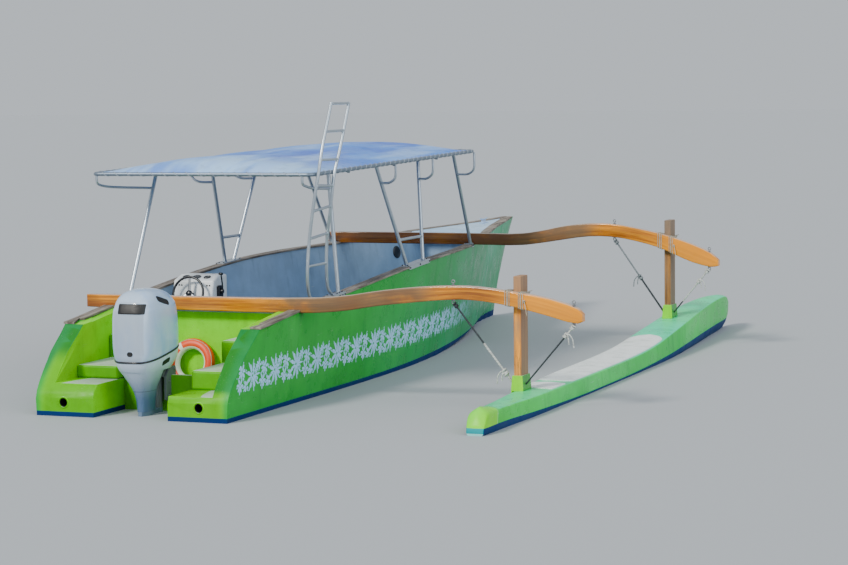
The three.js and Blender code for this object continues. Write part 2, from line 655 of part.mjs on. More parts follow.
for (const [end, beam] of Object.entries(BEAMS)) {
  const postX = beam.x + BEAM_W / 2 + GAP + POST.deep / 2;
  const deckZ = rowAt(AMA_ROWS, postX)[4];
  const bottom = deckZ + SOCKET.floor;
  const postBox = (grow) => box(
    postX - POST.deep / 2 - grow, postX + POST.deep / 2 + grow,
    POST.y - POST.wide / 2 - grow, POST.y + POST.wide / 2 + grow, bottom, POST_TOP[end]);
  const socketOuter = (grow) => {
    const level = (out, z) => {
      const [alongX, acrossY] = [POST.deep / 2 + out + grow, POST.wide / 2 + out + grow];
      return [[postX + alongX, POST.y + acrossY, z], [postX - alongX, POST.y + acrossY, z],
        [postX - alongX, POST.y - acrossY, z], [postX + alongX, POST.y - acrossY, z]];
    };
    const out = SOCKET.wall + SOCKET.flare;
    return loft([level(out, deckZ - 110), level(out, deckZ + 22), level(SOCKET.wall, SOCKET.top[end])], [0, 1]);
  };
  add(`ama_socket_${end}`, socketOuter(0).subtract(amaBody(GAP)).subtract(postBox(GAP)), LIME, 0.45);
  add(`post_${end}`, postBox(0).intersect(box(0, 9000, -4000, 0, bottom + GAP, 3000)), POST_WOOD, 0.7);

  const eyeHoles = [EYE.inner, EYE.outer[end]].map((y) => rod(
    [beam.x, y, 0], [beam.x, y, 2000], EYE.shank + GAP, 12));
  add(`beam_${end}`, beamBody(beam).subtract(joined(eyeHoles)), WOOD, 0.35);

  for (const [place, y] of [['inner', EYE.inner], ['outer', EYE.outer[end]]]) {
    const { top, bottom: under } = beamAt(beam, y);
    const eye = [beam.x, y, under - EYE.drop];
    const away = Math.sign(y - POST.y);
    const foot = [postX - 40, POST.y + away * 60, deckZ + 62];
    const nuts = rod([beam.x, y, under - 14], [beam.x, y, top + 14], EYE.nut, 6).subtract(beamBody(beam, GAP));
    const shank = rod([beam.x, y, under - EYE.drop + 8], [beam.x, y, top + 22], EYE.shank, 12);
    add(`stay_${end}_${place}`, joined([
      nuts, shank,
      ring(eye, EYE.ring, EYE.wire, [1, 0, 0]),
      ring([beam.x, y, top + 22 + EYE.ring], EYE.ring, EYE.wire, [1, 0, 0]),
      rod(eye, foot, STAY_R, 8),
    ]).subtract(socketOuter(GAP)).subtract(amaBody(GAP)), ROPE, 0.8);
  }

  const { top, bottom: under } = beamAt(beam, POST.y);
  const [aft, fore] = [beam.x - BEAM_W / 2, beam.x + BEAM_W / 2];
  const offset = POST.wide / 2 + 2 + LASH.band / 2;
  const bands = [-1, 1].map((side) => {
    const y = POST.y + side * offset;
    const here = beamAt(beam, y);
    return box(aft - LASH.thick, fore + LASH.thick, y - LASH.band / 2, y + LASH.band / 2,
      here.bottom - LASH.thick, here.top + LASH.thick);
  });
  const wraps = [0.3, 0.7].map((t) => {
    const z = under + (top - under) * t;
    return box(fore - 4, postX + POST.deep / 2 + LASH.thick, POST.y - offset - 9, POST.y + offset + 9, z - 11, z + 11);
  });
  const wound = joined([...bands, ...wraps]).subtract(beamBody(beam, GAP)).subtract(postBox(GAP));
  add(`lashing_${end}`, wound, ROPE, 0.9);
}

// Engine: a level ring with round corners, from a row of a table of upright sections
function engineRing([z, aft, fore, half], corners = 20, power = 3.2) {
  const [middle, reach] = [(aft + fore) / 2, (fore - aft) / 2];
  return Array.from({ length: corners }, (_, i) => {
    const turn = (2 * Math.PI * (i + 0.5)) / corners;
    const [c, s] = [Math.cos(turn), Math.sin(turn)];
    const round = (Math.abs(c) ** power + Math.abs(s) ** power) ** (-1 / power);
    return [middle + reach * c * round, half * s * round, z];
  });
}

// A level ring with a slim rounded fore end and a sharper aft end
function legRing([z, aft, fore, half]) {
  const outline = [[0, 0.3], [0.12, 0.66], [0.4, 1], [0.7, 0.92], [0.9, 0.62], [1, 0.3]];
  const side = outline.map(([t, w]) => [aft + (fore - aft) * t, half * w, z]);
  return [...side, ...side.map(([x, y]) => [x, -y, z]).reverse()];
}

add('engine_cowl', loft(COWL.map((row) => engineRing(row)), [0, 1]), WHITE, 0.25);
const lowerCowl = loft(PAN.map((row) => engineRing(row)), [0, 1]).add(loft(SHROUD.map(legRing), [0, 1]));
add('engine_lower_cowl', lowerCowl, WHITE, 0.3);

// Gearcase: leg, plate over the propeller, torpedo and skeg
const torpedo = [[-165, 30], [-160, 46], [0, 58], [120, 52], [200, 34], [240, 8]];
const torpedoProfile = [[0, -165], ...torpedo.map(([x, r]) => [r, x]), [0, 240]].map((p) => new THREE.Vector2(...p));
const torpedoShape = new THREE.LatheGeometry(torpedoProfile, 14);
torpedoShape.rotateZ(-Math.PI / 2);
torpedoShape.translate(300, 0, PROP.z);
const skeg = sidePlate([[210, -370], [400, -370], [330, -560], [262, -575]], -7, 7);
const plateOver = loft([[-132, 1], [-120, 1]].map(([z]) => legRing([z, 40, 430, 104])), [0, 1]);
const yokeTop = SWIVEL.low - GAP;
const yoke = rod([STEER_X, 0, yokeTop - 60], [STEER_X, 0, yokeTop], SWIVEL.tube, 16)
  .add(box(400, STEER_X, -40, 40, yokeTop - 60, 40 - GAP));
add('engine_gearcase', joined([
  loft(LEG.map(legRing), [0, 1]), solid(torpedoShape), skeg, plateOver, yoke,
]).subtract(rod([0, 0, PROP.z], [PROP.x + 30.5, 0, PROP.z], 64, 14)), WHITE, 0.3);

// Propeller: hub and blades that stand off it at a pitch
const hub = rod([PROP.x - 75, 0, PROP.z], [PROP.x + 30, 0, PROP.z], 38, 12, 46);
const blades = [0, 120, 240].map((degrees) => {
  const outline = new THREE.Shape([[-26, 30], [-62, 90], [-48, 160], [0, PROP.radius], [46, 160], [52, 90], [24, 30]]
    .map((p) => new THREE.Vector2(...p)));
  const blade = new THREE.ExtrudeGeometry(outline, { depth: 8, bevelEnabled: false });
  blade.translate(0, 0, -4);
  blade.rotateY(THREE.MathUtils.degToRad(62));
  blade.rotateX(Math.PI / 2);
  blade.rotateX(THREE.MathUtils.degToRad(degrees));
  blade.translate(PROP.x - 22, 0, PROP.z);
  return solid(blade);
});
add('propeller', joined([hub, ...blades]), STEEL, 0.3, 0.9);

// Clamp bracket on the transom, with the tilt tube
const clampProfile = [[500, 120], [TRANSOM.x - GAP, 90], [TRANSOM.x - GAP, TRANSOM.top + GAP],
  [660 + GAP, TRANSOM.top + GAP], [660 + GAP, 240], [684, 240], [706, 380], [694, CLAMP.top],
  [640, CLAMP.top], [560, 400], [500, 330]];
const clamp = SIDES.map(([, side]) => sidePlate(
  clampProfile, Math.min(side * CLAMP.inner, side * CLAMP.outer), Math.max(side * CLAMP.inner, side * CLAMP.outer)));
const tiltTube = rod([TILT.x, -CLAMP.outer - 12, TILT.z], [TILT.x, CLAMP.outer + 12, TILT.z], TILT.tube, 16);
add('engine_clamp', joined([...clamp, tiltTube]), STEEL, 0.4, 0.6);

// Swivel bracket between the clamp's plates: head round the tilt tube and the steering tube
const head = sidePlate([[496, 335], [600, 352], [TILT.x + 26, TILT.z - 22], [TILT.x + 26, TILT.z + 16],
  [TILT.x + 8, CLAMP.top], [496, CLAMP.top]], -SWIVEL.half, SWIVEL.half);
const pivotHole = rod([TILT.x, -200, TILT.z], [TILT.x, 200, TILT.z], TILT.tube + 1, 16);
const web = sidePlate([[500, 60], [582, 90], [598, 340], [500, 360]], -40, 40);
add('engine_swivel', joined([
  head.subtract(pivotHole), web, rod([STEER_X, 0, SWIVEL.low], [STEER_X, 0, SWIVEL.high], SWIVEL.tube, 16),
]), STEEL, 0.4, 0.6);

const group = new THREE.Group();
for (const { name, body, color, roughness, metalness } of parts) {
  const material = new THREE.MeshStandardMaterial({ color, roughness, metalness });
  const mesh = new THREE.Mesh(geometryOf(body), material);
  mesh.name = name;
  group.add(mesh);
}

export default group;
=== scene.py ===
import math

import bmesh
import bpy
from mathutils import Matrix, Vector
from mathutils.bvhtree import BVHTree


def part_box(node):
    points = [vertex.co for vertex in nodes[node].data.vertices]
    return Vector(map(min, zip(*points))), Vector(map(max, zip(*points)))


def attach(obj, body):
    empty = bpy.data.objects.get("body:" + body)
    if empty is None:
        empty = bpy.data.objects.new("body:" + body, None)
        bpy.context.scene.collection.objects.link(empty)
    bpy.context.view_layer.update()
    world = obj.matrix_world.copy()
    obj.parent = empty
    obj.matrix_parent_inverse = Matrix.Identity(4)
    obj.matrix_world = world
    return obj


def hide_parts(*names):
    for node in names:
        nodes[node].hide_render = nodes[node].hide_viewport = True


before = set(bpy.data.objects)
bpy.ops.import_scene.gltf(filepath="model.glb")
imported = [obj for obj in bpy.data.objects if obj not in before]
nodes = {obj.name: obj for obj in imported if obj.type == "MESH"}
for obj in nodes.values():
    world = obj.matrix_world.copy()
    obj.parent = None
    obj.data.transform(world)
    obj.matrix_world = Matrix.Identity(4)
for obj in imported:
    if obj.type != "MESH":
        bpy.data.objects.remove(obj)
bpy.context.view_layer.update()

X, Y, Z = Vector((1, 0, 0)), Vector((0, 1, 0)), Vector((0, 0, 1))
SIDES = (1, -1)
ENDS = ("aft", "fore")

# Camera and studio
IMAGE_WIDTH = 848
FOCAL_PIXELS = 2300
SENSOR = 36
CAMERA_PLACE = Vector((-18.597, -10.094, 3.0))
CAMERA_YAW = math.radians(21.119)
CAMERA_PITCH = math.radians(4.809)
CAMERA_ROLL = math.radians(-0.633)
FLOOR_REACH = 260
FLOOR_COLOUR = (0.385, 0.408, 0.436, 1)
SKY_COLOUR = (0.80, 0.86, 0.92, 1)
SKY_STRENGTH = 0.74
# The way each light travels, its strength, its width in degrees and its colour
SUNS = {
    "key_light": ((0.80, -0.34, -0.66), 3.4, 12, (1.0, 0.96, 0.88)),
    "fill_light": ((0.40, 0.80, -0.45), 1.6, 60, (0.86, 0.94, 1.0)),
}


def show(obj):
    bpy.context.scene.collection.objects.link(obj)
    return obj


def add_camera():
    level = math.cos(CAMERA_PITCH)
    ahead = Vector((
        math.cos(CAMERA_YAW) * level, math.sin(CAMERA_YAW) * level, -math.sin(CAMERA_PITCH)))
    right = Vector((math.sin(CAMERA_YAW), -math.cos(CAMERA_YAW), 0))
    above = right.cross(ahead)
    side = right * math.cos(CAMERA_ROLL) + above * math.sin(CAMERA_ROLL)
    up = above * math.cos(CAMERA_ROLL) - right * math.sin(CAMERA_ROLL)
    data = bpy.data.cameras.new("camera")
    data.sensor_fit = "HORIZONTAL"
    data.sensor_width = SENSOR
    data.lens = FOCAL_PIXELS / IMAGE_WIDTH * SENSOR
    data.clip_end = 800
    camera = show(bpy.data.objects.new("camera", data))
    turn = Matrix((side, up, -ahead)).transposed().to_4x4()
    camera.matrix_world = Matrix.Translation(CAMERA_PLACE) @ turn
    bpy.context.scene.camera = camera


def add_studio():
    for name, (toward, strength, width, colour) in SUNS.items():
        data = bpy.data.lights.new(name, "SUN")
        data.energy = strength
        data.angle = math.radians(width)
        data.color = colour
        light = show(bpy.data.objects.new(name, data))
        light.rotation_euler = Vector(toward).to_track_quat("-Z", "Y").to_euler()
    world = bpy.data.worlds.new("studio")
    world.use_nodes = True
    sky = world.node_tree.nodes["Background"].inputs
    sky["Color"].default_value = SKY_COLOUR
    sky["Strength"].default_value = SKY_STRENGTH
    bpy.context.scene.world = world
    mesh = bpy.data.meshes.new("studio_floor")
    corners = [(sx * FLOOR_REACH, sy * FLOOR_REACH, 0) for sx, sy in ((-1, -1), (1, -1), (1, 1), (-1, 1))]
    mesh.from_pydata(corners, [], [(0, 1, 2, 3)])
    paint = bpy.data.materials.new("studio_floor")
    paint.use_nodes = True
    shader = paint.node_tree.nodes["Principled BSDF"].inputs
    shader["Base Color"].default_value = FLOOR_COLOUR
    shader["Roughness"].default_value = 0.7
    mesh.materials.append(paint)
    show(bpy.data.objects.new("studio_floor", mesh))


add_camera()
add_studio()


# Shader trees
class Field:
    """A value that varies over a surface. Arithmetic on it adds Math nodes."""
    def __init__(self, tree, socket):
        self.tree = tree
        self.socket = socket

    def math(self, operation, other=0.0):
        return self.tree.put("Math", {0: self, 1: other}, operation=operation)

    def __rsub__(self, other):
        return self * -1.0 + other

    def wrapped(self, pitch):
        """The value folded into one pitch, from minus half of it to plus half."""
        return ((self / pitch + 0.5).math("FRACT") - 0.5) * pitch

    def ramp(self, start, end, low=0.0, high=1.0):
        """A smooth step from low at start to high at end."""
        values = {"Value": self, "From Min": start, "From Max": end, "To Min": low, "To Max": high}
        return self.tree.put("MapRange", values, interpolation_type="SMOOTHSTEP")

    def line(self, inner, outer, middle=0.0, high=1.0):
        """A line where the value is near the middle."""
        return (self - middle).absolute().ramp(inner, outer, high, 0.0)


OPERATIONS = {
    "__add__": "ADD", "__radd__": "ADD", "__sub__": "SUBTRACT", "__mul__": "MULTIPLY",
    "__rmul__": "MULTIPLY", "__truediv__": "DIVIDE", "__pow__": "POWER", "absolute": "ABSOLUTE",
    "sine": "SINE", "cosine": "COSINE", "over": "GREATER_THAN", "under": "LESS_THAN",
    "highest": "MAXIMUM", "lowest": "MINIMUM",
}
for method, operation in OPERATIONS.items():
    setattr(Field, method, lambda field, other=0.0, kind=operation: field.math(kind, other))


class Tree:
    """A node tree, with its nodes put in as they are asked for."""
    def __init__(self, tree):
        self.tree = tree

    def fill(self, node, inputs):
        """Sets a node's inputs to plain values or links them to fields."""
        for name, value in inputs.items():
            if isinstance(value, Field):
                self.tree.links.new(value.socket, node.inputs[name])
            else:
                node.inputs[name].default_value = value
        return node.outputs

    def put(self, kind, inputs, out=0, **settings):
        node = self.tree.nodes.new("ShaderNode" + kind)
        for name, value in settings.items():
            setattr(node, name, value)
        return Field(self, self.fill(node, inputs)[out])

    def use(self, group, **values):
        """The outputs of a node group in this tree."""
        node = self.tree.nodes.new("ShaderNodeGroup")
        node.node_tree = group
        return [Field(self, output) for output in self.fill(node, values)]

    def axes(self, vector=None):
        split = self.put("SeparateXYZ", {0: vector or self.put("TexCoord", {}, "Object")})
        return [Field(self, output) for output in split.socket.node.outputs]

    def facing(self):
        """How far the surface faces along each axis."""
        return self.axes(self.put("TexCoord", {}, "Normal"))

    def route(self):
        """Length along a swept piece in metres, and the share of the way around it."""
        return self.axes(self.put("UVMap", {}, uv_map="route"))[:2]

    def vector(self, x, y, z):
        return self.put("CombineXYZ", {0: x, 1: y, 2: z})

    def noise(self, sizes, detail=3.0, vector=None, roughness=0.55):
        """Noise with a number of waves in a metre, one for all axes or one for each."""
        sizes = sizes if isinstance(sizes, tuple) else (sizes,) * 3
        vector = vector or self.put("TexCoord", {}, "Object")
        place = self.put("VectorMath", {0: vector, 1: sizes}, operation="MULTIPLY")
        values = {"Vector": place, "Scale": 1.0, "Detail": detail, "Roughness": roughness}
        return self.put("TexNoise", values)

    def mix(self, mask, first, second):
        return self.put("Mix", {0: mask, 6: first, 7: second}, 2, data_type="RGBA")

    def shaded(self, colour, amount):
        """A colour times a number."""
        return self.put("VectorMath", {0: colour, "Scale": amount}, operation="SCALE")


def shader_group(name, inputs, outputs, build):
    """A shader node group; inputs and outputs give each socket's kind by its name."""
    group = bpy.data.node_groups.new(name, "ShaderNodeTree")
    for way, sockets in (("INPUT", inputs), ("OUTPUT", outputs)):
        for label, kind in sockets.items():
            group.interface.new_socket(label, in_out=way, socket_type="NodeSocket" + kind)
    tree = Tree(group)
    source = group.nodes.new("NodeGroupInput")
    sink = group.nodes.new("NodeGroupOutput")
    made = build(tree, *(Field(tree, source.outputs[label]) for label in inputs))
    tree.fill(sink, dict(zip(outputs, made)))
    return group


def material(name, build, bump=0.3, depth=0.002, **plain):
    """A material: its tree gives colour, roughness and height; plain values go on the shader itself."""
    made = bpy.data.materials.new(name)
    made.use_nodes = True
    shader = made.node_tree.nodes["Principled BSDF"]
    tree = Tree(made.node_tree)
    colour, roughness, height = build(tree)
    inputs = {label.replace("_", " "): value for label, value in plain.items()}
    inputs["Base Color"] = colour
    if roughness:
        inputs["Roughness"] = roughness
    if height:
        inputs["Normal"] = tree.put("Bump", {"Height": height, "Strength": bump, "Distance": depth})
    tree.fill(shader, inputs)
    return made


def srgb(red, green, blue):
    """A colour given on a screen, as the linear colour that a shader takes."""
    def linear(value):
        share = value / 255
        return share / 12.92 if share <= 0.04045 else ((share + 0.055) / 1.055) ** 2.4
    return (linear(red), linear(green), linear(blue), 1)


# Effects that several finishes share
SURFACE = {"Colour": "Color", "Roughness": "Float", "Height": "Float"}


def build_paint(t, colour, faded, grime, scuffs, roughness):
    blotch = t.noise(5, 4)
    runs = t.noise((11, 11, 1.1)).ramp(0.53, 0.75)
    scratch = t.noise((7, 60, 150), 2).ramp(0.66, 0.70) * t.noise(3, 2).ramp(0.50, 0.62)
    bleached_and_sheen = t.mix(t.noise((0.7, 0.7, 0.9), 2).ramp(0.35, 0.7) * 0.6, colour, faded)
    uneven = t.shaded(bleached_and_sheen, blotch.ramp(0.3, 0.7, 0.90, 1.06))
    grimy = t.mix(runs * grime, uneven, (0.05, 0.06, 0.05, 1))
    scuffed = t.mix(scratch * scuffs, grimy, (0.62, 0.66, 0.62, 1))
    rough = roughness + blotch.ramp(0.3, 0.7, -0.05, 0.07) + runs * 0.12
    return scuffed, rough, t.noise(260, 1) * 0.25 + blotch * 0.75


PAINT = shader_group(
    "worn_boat_paint",
    {"Colour": "Color", "Faded": "Color", "Grime": "Float", "Scuffs": "Float", "Roughness": "Float"},
    SURFACE, build_paint)


def build_grain(t, place, light, dark, cracks, roughness):
    sway = t.noise((0.9, 3, 3), 3, place) * 0.025
    along, across, up = t.axes(place)
    figure = t.noise((1.2, 26, 26), 5, t.vector(along, across + sway, up + sway), 0.6)
    pores = t.noise((9, 420, 420), 2, place)
    split = t.noise((1.1, 34, 34), 3, place, 0.7).line(0.002, 0.008, 0.5)
    crack = split * t.noise((1.6, 7, 7), 2, place).ramp(0.54, 0.64) * cracks
    tone = t.mix(figure.ramp(0.32, 0.68), dark, light)
    fine = t.shaded(tone, pores.ramp(0.3, 0.7, 0.84, 1.1))
    rough = roughness + figure.ramp(0.3, 0.7, 0.05, -0.05)
    return t.mix(crack, fine, (0.015, 0.012, 0.01, 1)), rough, figure * 0.35 + pores * 0.25 - crack


GRAIN = shader_group(
    "timber_grain",
    {"Place": "Vector", "Light": "Color", "Dark": "Color", "Cracks": "Float", "Roughness": "Float"},
    SURFACE, build_grain)


def build_salt(t, colour, amount, roughness):
    spots = t.noise(38, 4).ramp(0.55, 0.72)
    dulled = spots * t.noise(4).ramp(0.4, 0.65)
    whitened = t.mix(dulled * amount, colour, (0.72, 0.74, 0.75, 1))
    return whitened, roughness + dulled * 0.25, t.noise((30, 600, 600), 1) * 0.3 + spots * 0.5


SALT = shader_group(
    "salt_dulled_metal", {"Colour": "Color", "Amount": "Float", "Roughness": "Float"}, SURFACE, build_salt)


def build_strands(t, along, around, pitch, colour, soiled):
    turns = along / pitch
    lay = ((turns + around) * math.tau).sine()
    fibres = ((turns * 7 - around * 9) * math.tau).sine()
    tone = t.mix(t.noise(25).ramp(0.4, 0.7) * 0.5, colour, soiled)
    return t.shaded(tone, lay * 0.12 + fibres * 0.05 + 0.86), lay * 0.7 + fibres * 0.3


STRANDS = shader_group(
    "twisted_strands",
    {"Along": "Float", "Around": "Float", "Pitch": "Float", "Colour": "Color", "Soiled": "Color"},
    {"Colour": "Color", "Height": "Float"}, build_strands)

GARLAND_PITCH = 0.4686
# Centre, reach, petals, leaves and turn of each flower
FLOWERS = (
    ((0.504, 0.382), 0.160, 8, 9, 0.35), ((0.290, 0.440), 0.098, 6, 5, 0.9),
    ((0.716, 0.316), 0.092, 6, 5, 0.1), ((0.372, 0.300), 0.074, 5, 4, 0.5),
    ((0.636, 0.470), 0.070, 5, 4, 1.3),
)


def build_garland(t, along, up):
    """Flowers that come back at each pitch: round petals, and slender leaves outside them."""
    whole = 0.0
    for centre, reach, petals, leaves, turn in FLOWERS:
        u = (along - centre[0]).wrapped(GARLAND_PITCH)
        v = up - centre[1]
        radius = (u * u + v * v).math("SQRT")
        angle = v.math("ARCTAN2", u) + turn
        petal = (angle * (petals / 2)).cosine().absolute() ** 0.75 * (reach * 0.76)
        leaf = ((angle + 0.3) * (leaves / 2)).cosine().absolute() ** 4.0 * reach
        leaves_shown = (leaf - radius).ramp(0, 0.01) * (radius - petal).ramp(0.004, 0.009)
        eye = radius.ramp(reach * 0.06, reach * 0.09)
        whole = ((petal - radius).ramp(0, 0.005).highest(leaves_shown) * eye).highest(whole)
    return [whole * t.noise(30).ramp(0.28, 0.42)]


GARLAND = shader_group(
    "flower_garland", {"Along": "Float", "Up": "Float"}, {"Mask": "Float"}, build_garland)

# Paints
GREEN = srgb(30, 148, 40)
GREEN_FADED = srgb(54, 172, 70)
# Painted reflection: the teal green stands for water and sky reflected in the forward hull sides.
TEAL_GREEN = srgb(0, 142, 84)
TEAL_FADED = srgb(30, 168, 122)
# Painted sky reflection and painted shade: the darker band green of the stern wings' aft bands.
BAND_GREEN = srgb(16, 116, 48)
BAND_FADED = srgb(40, 140, 74)
# Painted light: the lime is the boat's green paint as it looks in sunlight, so the lime pieces and the
# lime inside the stern well, against the green outer sides, are painted sunlight and painted shade.
LIME = srgb(114, 214, 0)
LIME_FADED = srgb(144, 230, 0)
# Painted shade: a dark green for the aft-facing risers of the stern steps.
RISER_SHADE = srgb(40, 116, 0)
# Painted shade: a darker green for the float sockets' starboard faces.
SOCKET_SHADE = srgb(44, 136, 72)
BOOT_BLUE = srgb(6, 44, 96)
FLOWER_WHITE = srgb(172, 214, 254)
TREAD = srgb(192, 202, 194)
BOOT_TOP = 0.045
BAND_INNER = 0.880
BAND_OUTER = 0.985
WELL_END = 1.61


def build_hull_paint(t):
    x, y, z = t.axes()
    ahead, aside, upward = t.facing()
    # Painted reflection: the green turns teal towards the bow.
    forward = x.ramp(2.0, 8.5)
    # Painted light: inside the stern well the green paint turns lime as painted sunlight; outside it stays
    # green as painted shade.
    inside = y.absolute().ramp(BAND_INNER, BAND_OUTER, 1.0, 0.0) * x.under(WELL_END)
    # Painted sky reflection and painted shade: aft-facing upper faces, the starboard wing's aft band and
    # the top of the port band take the band green; the rest of the port band keeps the lime of painted
    # sunlight.
    rim = ahead.under(-0.45) * z.ramp(0.25, 0.5)
    wing_edge = ahead.under(-0.25) * z.ramp(0.24, 0.30) * x.under(1.2)
    teal_edge = wing_edge * y.absolute().ramp(0.80, 0.84) * y.under(0).highest(z.ramp(0.45, 0.62))
    # Painted shade: aft-facing faces inside the stern well darken to the riser green.
    aft_face = ahead.under(-0.6) * inside * 0.6

    def coats(side, edge, lime):
        around = t.mix(inside, t.mix(rim, side, edge), lime)
        return t.mix(aft_face, t.mix(teal_edge, around, edge), RISER_SHADE)
    base = coats(t.mix(forward, GREEN, TEAL_GREEN), BAND_GREEN, LIME)
    faded = coats(t.mix(forward, GREEN_FADED, TEAL_FADED), BAND_FADED, LIME_FADED)
    colour, rough, height = t.use(PAINT, Colour=base, Faded=faded, Grime=0.1, Scuffs=0.15, Roughness=0.3)
    band, = t.use(GARLAND, Along=x, Up=z)
    outward = (aside * y.math("SIGN")).over(0.5)
    shown = band * outward * x.ramp(0.16, 0.2) * x.ramp(5.4, 8.0, 1.0, 0.0)
    below = (x.ramp(3.0, 8.0, BOOT_TOP, BOOT_TOP + 0.035) - z).ramp(-0.002, 0.004)
    slime = t.noise((3, 3, 14), 4).ramp(0.42, 0.7) * (0.05 - z).ramp(0, 0.08)
    tread = upward.over(0.9) * inside * z.over(0.15) * z.under(0.4)
    worn = tread * t.noise(5, 4).ramp(0.30, 0.62, 0.8, 1.0)
    walked = t.mix(worn * 0.9, t.mix(shown * 0.9, colour, FLOWER_WHITE), TREAD)
    painted = t.mix(below, walked, t.mix(slime * 0.6, BOOT_BLUE, srgb(34, 66, 48)))
    relief = height * 0.5 + t.noise(420, 1) * tread + shown * 0.15
    return painted, rough + below * 0.3 + tread * 0.35, relief


def build_lime_paint(t):
    x, y = t.axes()[:2]
    ahead, aside, upward = t.facing()
    colour, rough, height = t.use(
        PAINT, Colour=LIME, Faded=LIME_FADED, Grime=0.14, Scuffs=0.3, Roughness=0.28)
    # Painted shade: aft-facing faces near the stern darken to the riser green.
    shaded_risers = t.mix(ahead.under(-0.6) * x.under(1.45) * 0.65, colour, RISER_SHADE)
    # Painted shade: the float sockets' starboard faces turn darker green.
    shaded_sides = t.mix(aside.under(-0.6) * y.under(-2.5) * 0.8, shaded_risers, SOCKET_SHADE)
    tread = upward.over(0.9)
    worn = tread * t.noise(5, 4).ramp(0.30, 0.6, 0.8, 1.0)
    return t.mix(worn * 0.9, shaded_sides, TREAD), rough + tread * 0.3, height * 0.5 + t.noise(420, 1) * tread


COCKPIT = srgb(138, 170, 202)
COCKPIT_FADED = srgb(158, 184, 208)
SOLE_TOP = 0.16
BOARD_PITCH = 0.145


def build_cockpit_paint(t):
    x, y, z = t.axes()
    colour, rough, height = t.use(
        PAINT, Colour=COCKPIT, Faded=COCKPIT_FADED, Grime=0.2, Scuffs=0.5, Roughness=0.42)
    sole = z.under(SOLE_TOP)
    seam = (y + BOARD_PITCH / 2).wrapped(BOARD_PITCH).line(0.002, 0.005) * sole
    sandy = t.mix(t.noise(30, 4).ramp(0.5, 0.7) * sole * 0.5, colour, srgb(168, 160, 140))
    # Painted shade: the cockpit paint darkens low down and towards the bow.
    corner = t.shaded(sandy, z.ramp(0.12, 0.42, 0.72, 1.0) * x.ramp(4.6, 7.6, 1.0, 0.84))
    return t.mix(seam * 0.8, corner, (0.03, 0.035, 0.04, 1)), rough + sole * 0.2, height - seam * 1.2


def build_deck_paint(t):
    return t.use(
        PAINT, Colour=srgb(150, 190, 226), Faded=srgb(186, 210, 232), Grime=0.25, Scuffs=0.5,
        Roughness=0.35)


AMA_LIME = srgb(128, 224, 0)
AMA_GREEN = srgb(44, 194, 44)
AMA_MINT = srgb(0, 190, 68)
AMA_DECK = srgb(44, 216, 166)
AMA_CAP_END = 0.29


def build_float_paint(t):
    x, _, z = t.axes()
    ahead, _, upward = t.facing()
    from_cap = x - z * 0.35 - AMA_CAP_END
    side = t.mix(from_cap.ramp(-0.02, 0.02), AMA_LIME, t.mix(x.ramp(0.4, 3.0), AMA_GREEN, AMA_MINT))
    decked = t.mix(upward.ramp(0.6, 0.9) * from_cap.ramp(0.0, 0.1), side, AMA_DECK)
    edged = t.mix(from_cap.line(0.003, 0.007, high=0.6), decked, srgb(196, 232, 190))
    colour, rough, height = t.use(
        PAINT, Colour=edged, Faded=srgb(70, 222, 104), Grime=0.15, Scuffs=0.5, Roughness=0.3)
    below = (x.ramp(0.0, 3.0, 0.066, 0.022) + x.ramp(4.0, 8.8, 0.0, 0.105) - z).ramp(-0.002, 0.004)
    slime = t.noise((4, 4, 14), 4).ramp(0.45, 0.7) * (0.05 - z).ramp(0, 0.1)
    stripe = t.mix(z.under(0.018), srgb(0, 142, 150), srgb(150, 218, 214))
    blue = t.mix(ahead.under(-0.6), srgb(14, 54, 104), stripe)
    painted = t.mix(below, colour, t.mix(slime * 0.55, blue, srgb(40, 70, 52)))
    return painted, rough + below * 0.25, height * 0.6


# Timber
def build_varnished_wood(t):
    x, y = t.axes()[:2]
    plies = t.put("Attribute", {}, "Fac", attribute_name="layer") * 5
    number = plies.math("FLOOR")
    glue = plies.wrapped(1.0).line(0.02, 0.05)
    place = t.vector(y + number * 3.7, x + number * 1.3, plies * 0.028)
    colour, rough, height = t.use(
        GRAIN, Place=place, Light=srgb(224, 142, 0), Dark=srgb(142, 74, 0), Cracks=0.25, Roughness=0.2)
    tinted = t.shaded(colour, (number * 2.4).sine() * 0.14 + 1.0)
    lined = t.mix(glue * 0.5, tinted, srgb(92, 44, 12))
    # Over the gunwale the wood turns a rougher grey-brown: weathered bare wood, darkened further as
    # painted shade.
    over_gunwale = y.line(0.6, 0.95, -1.6) * t.noise((6, 3, 6), 4).ramp(0.2, 0.5)
    bare_and_shaded = t.mix(over_gunwale * 0.85, lined, srgb(92, 74, 52))
    # Painted shadow: dappled dark brown patches.
    dappled_shade = t.noise((1.5, 1.7, 1.5), 2).ramp(0.42, 0.62) * 0.5
    dusky = t.mix(dappled_shade, bare_and_shaded, srgb(104, 54, 4))
    # Painted sunlight: the outer tips turn a bright orange.
    sunlit_tip = t.mix(y.ramp(-3.4, -2.9, 0.7, 0.0), dusky, srgb(236, 148, 0))
    shadowed = t.mix(x.over(4.0) * y.ramp(-1.75, -1.2) * 0.6, sunlit_tip, srgb(84, 44, 14))
    crest = t.facing()[2].ramp(0.6, 0.9) * 0.6
    topped = t.mix(crest, shadowed, srgb(196, 184, 168))
    return topped, rough + over_gunwale * 0.45, height * 0.6 - glue * 0.2


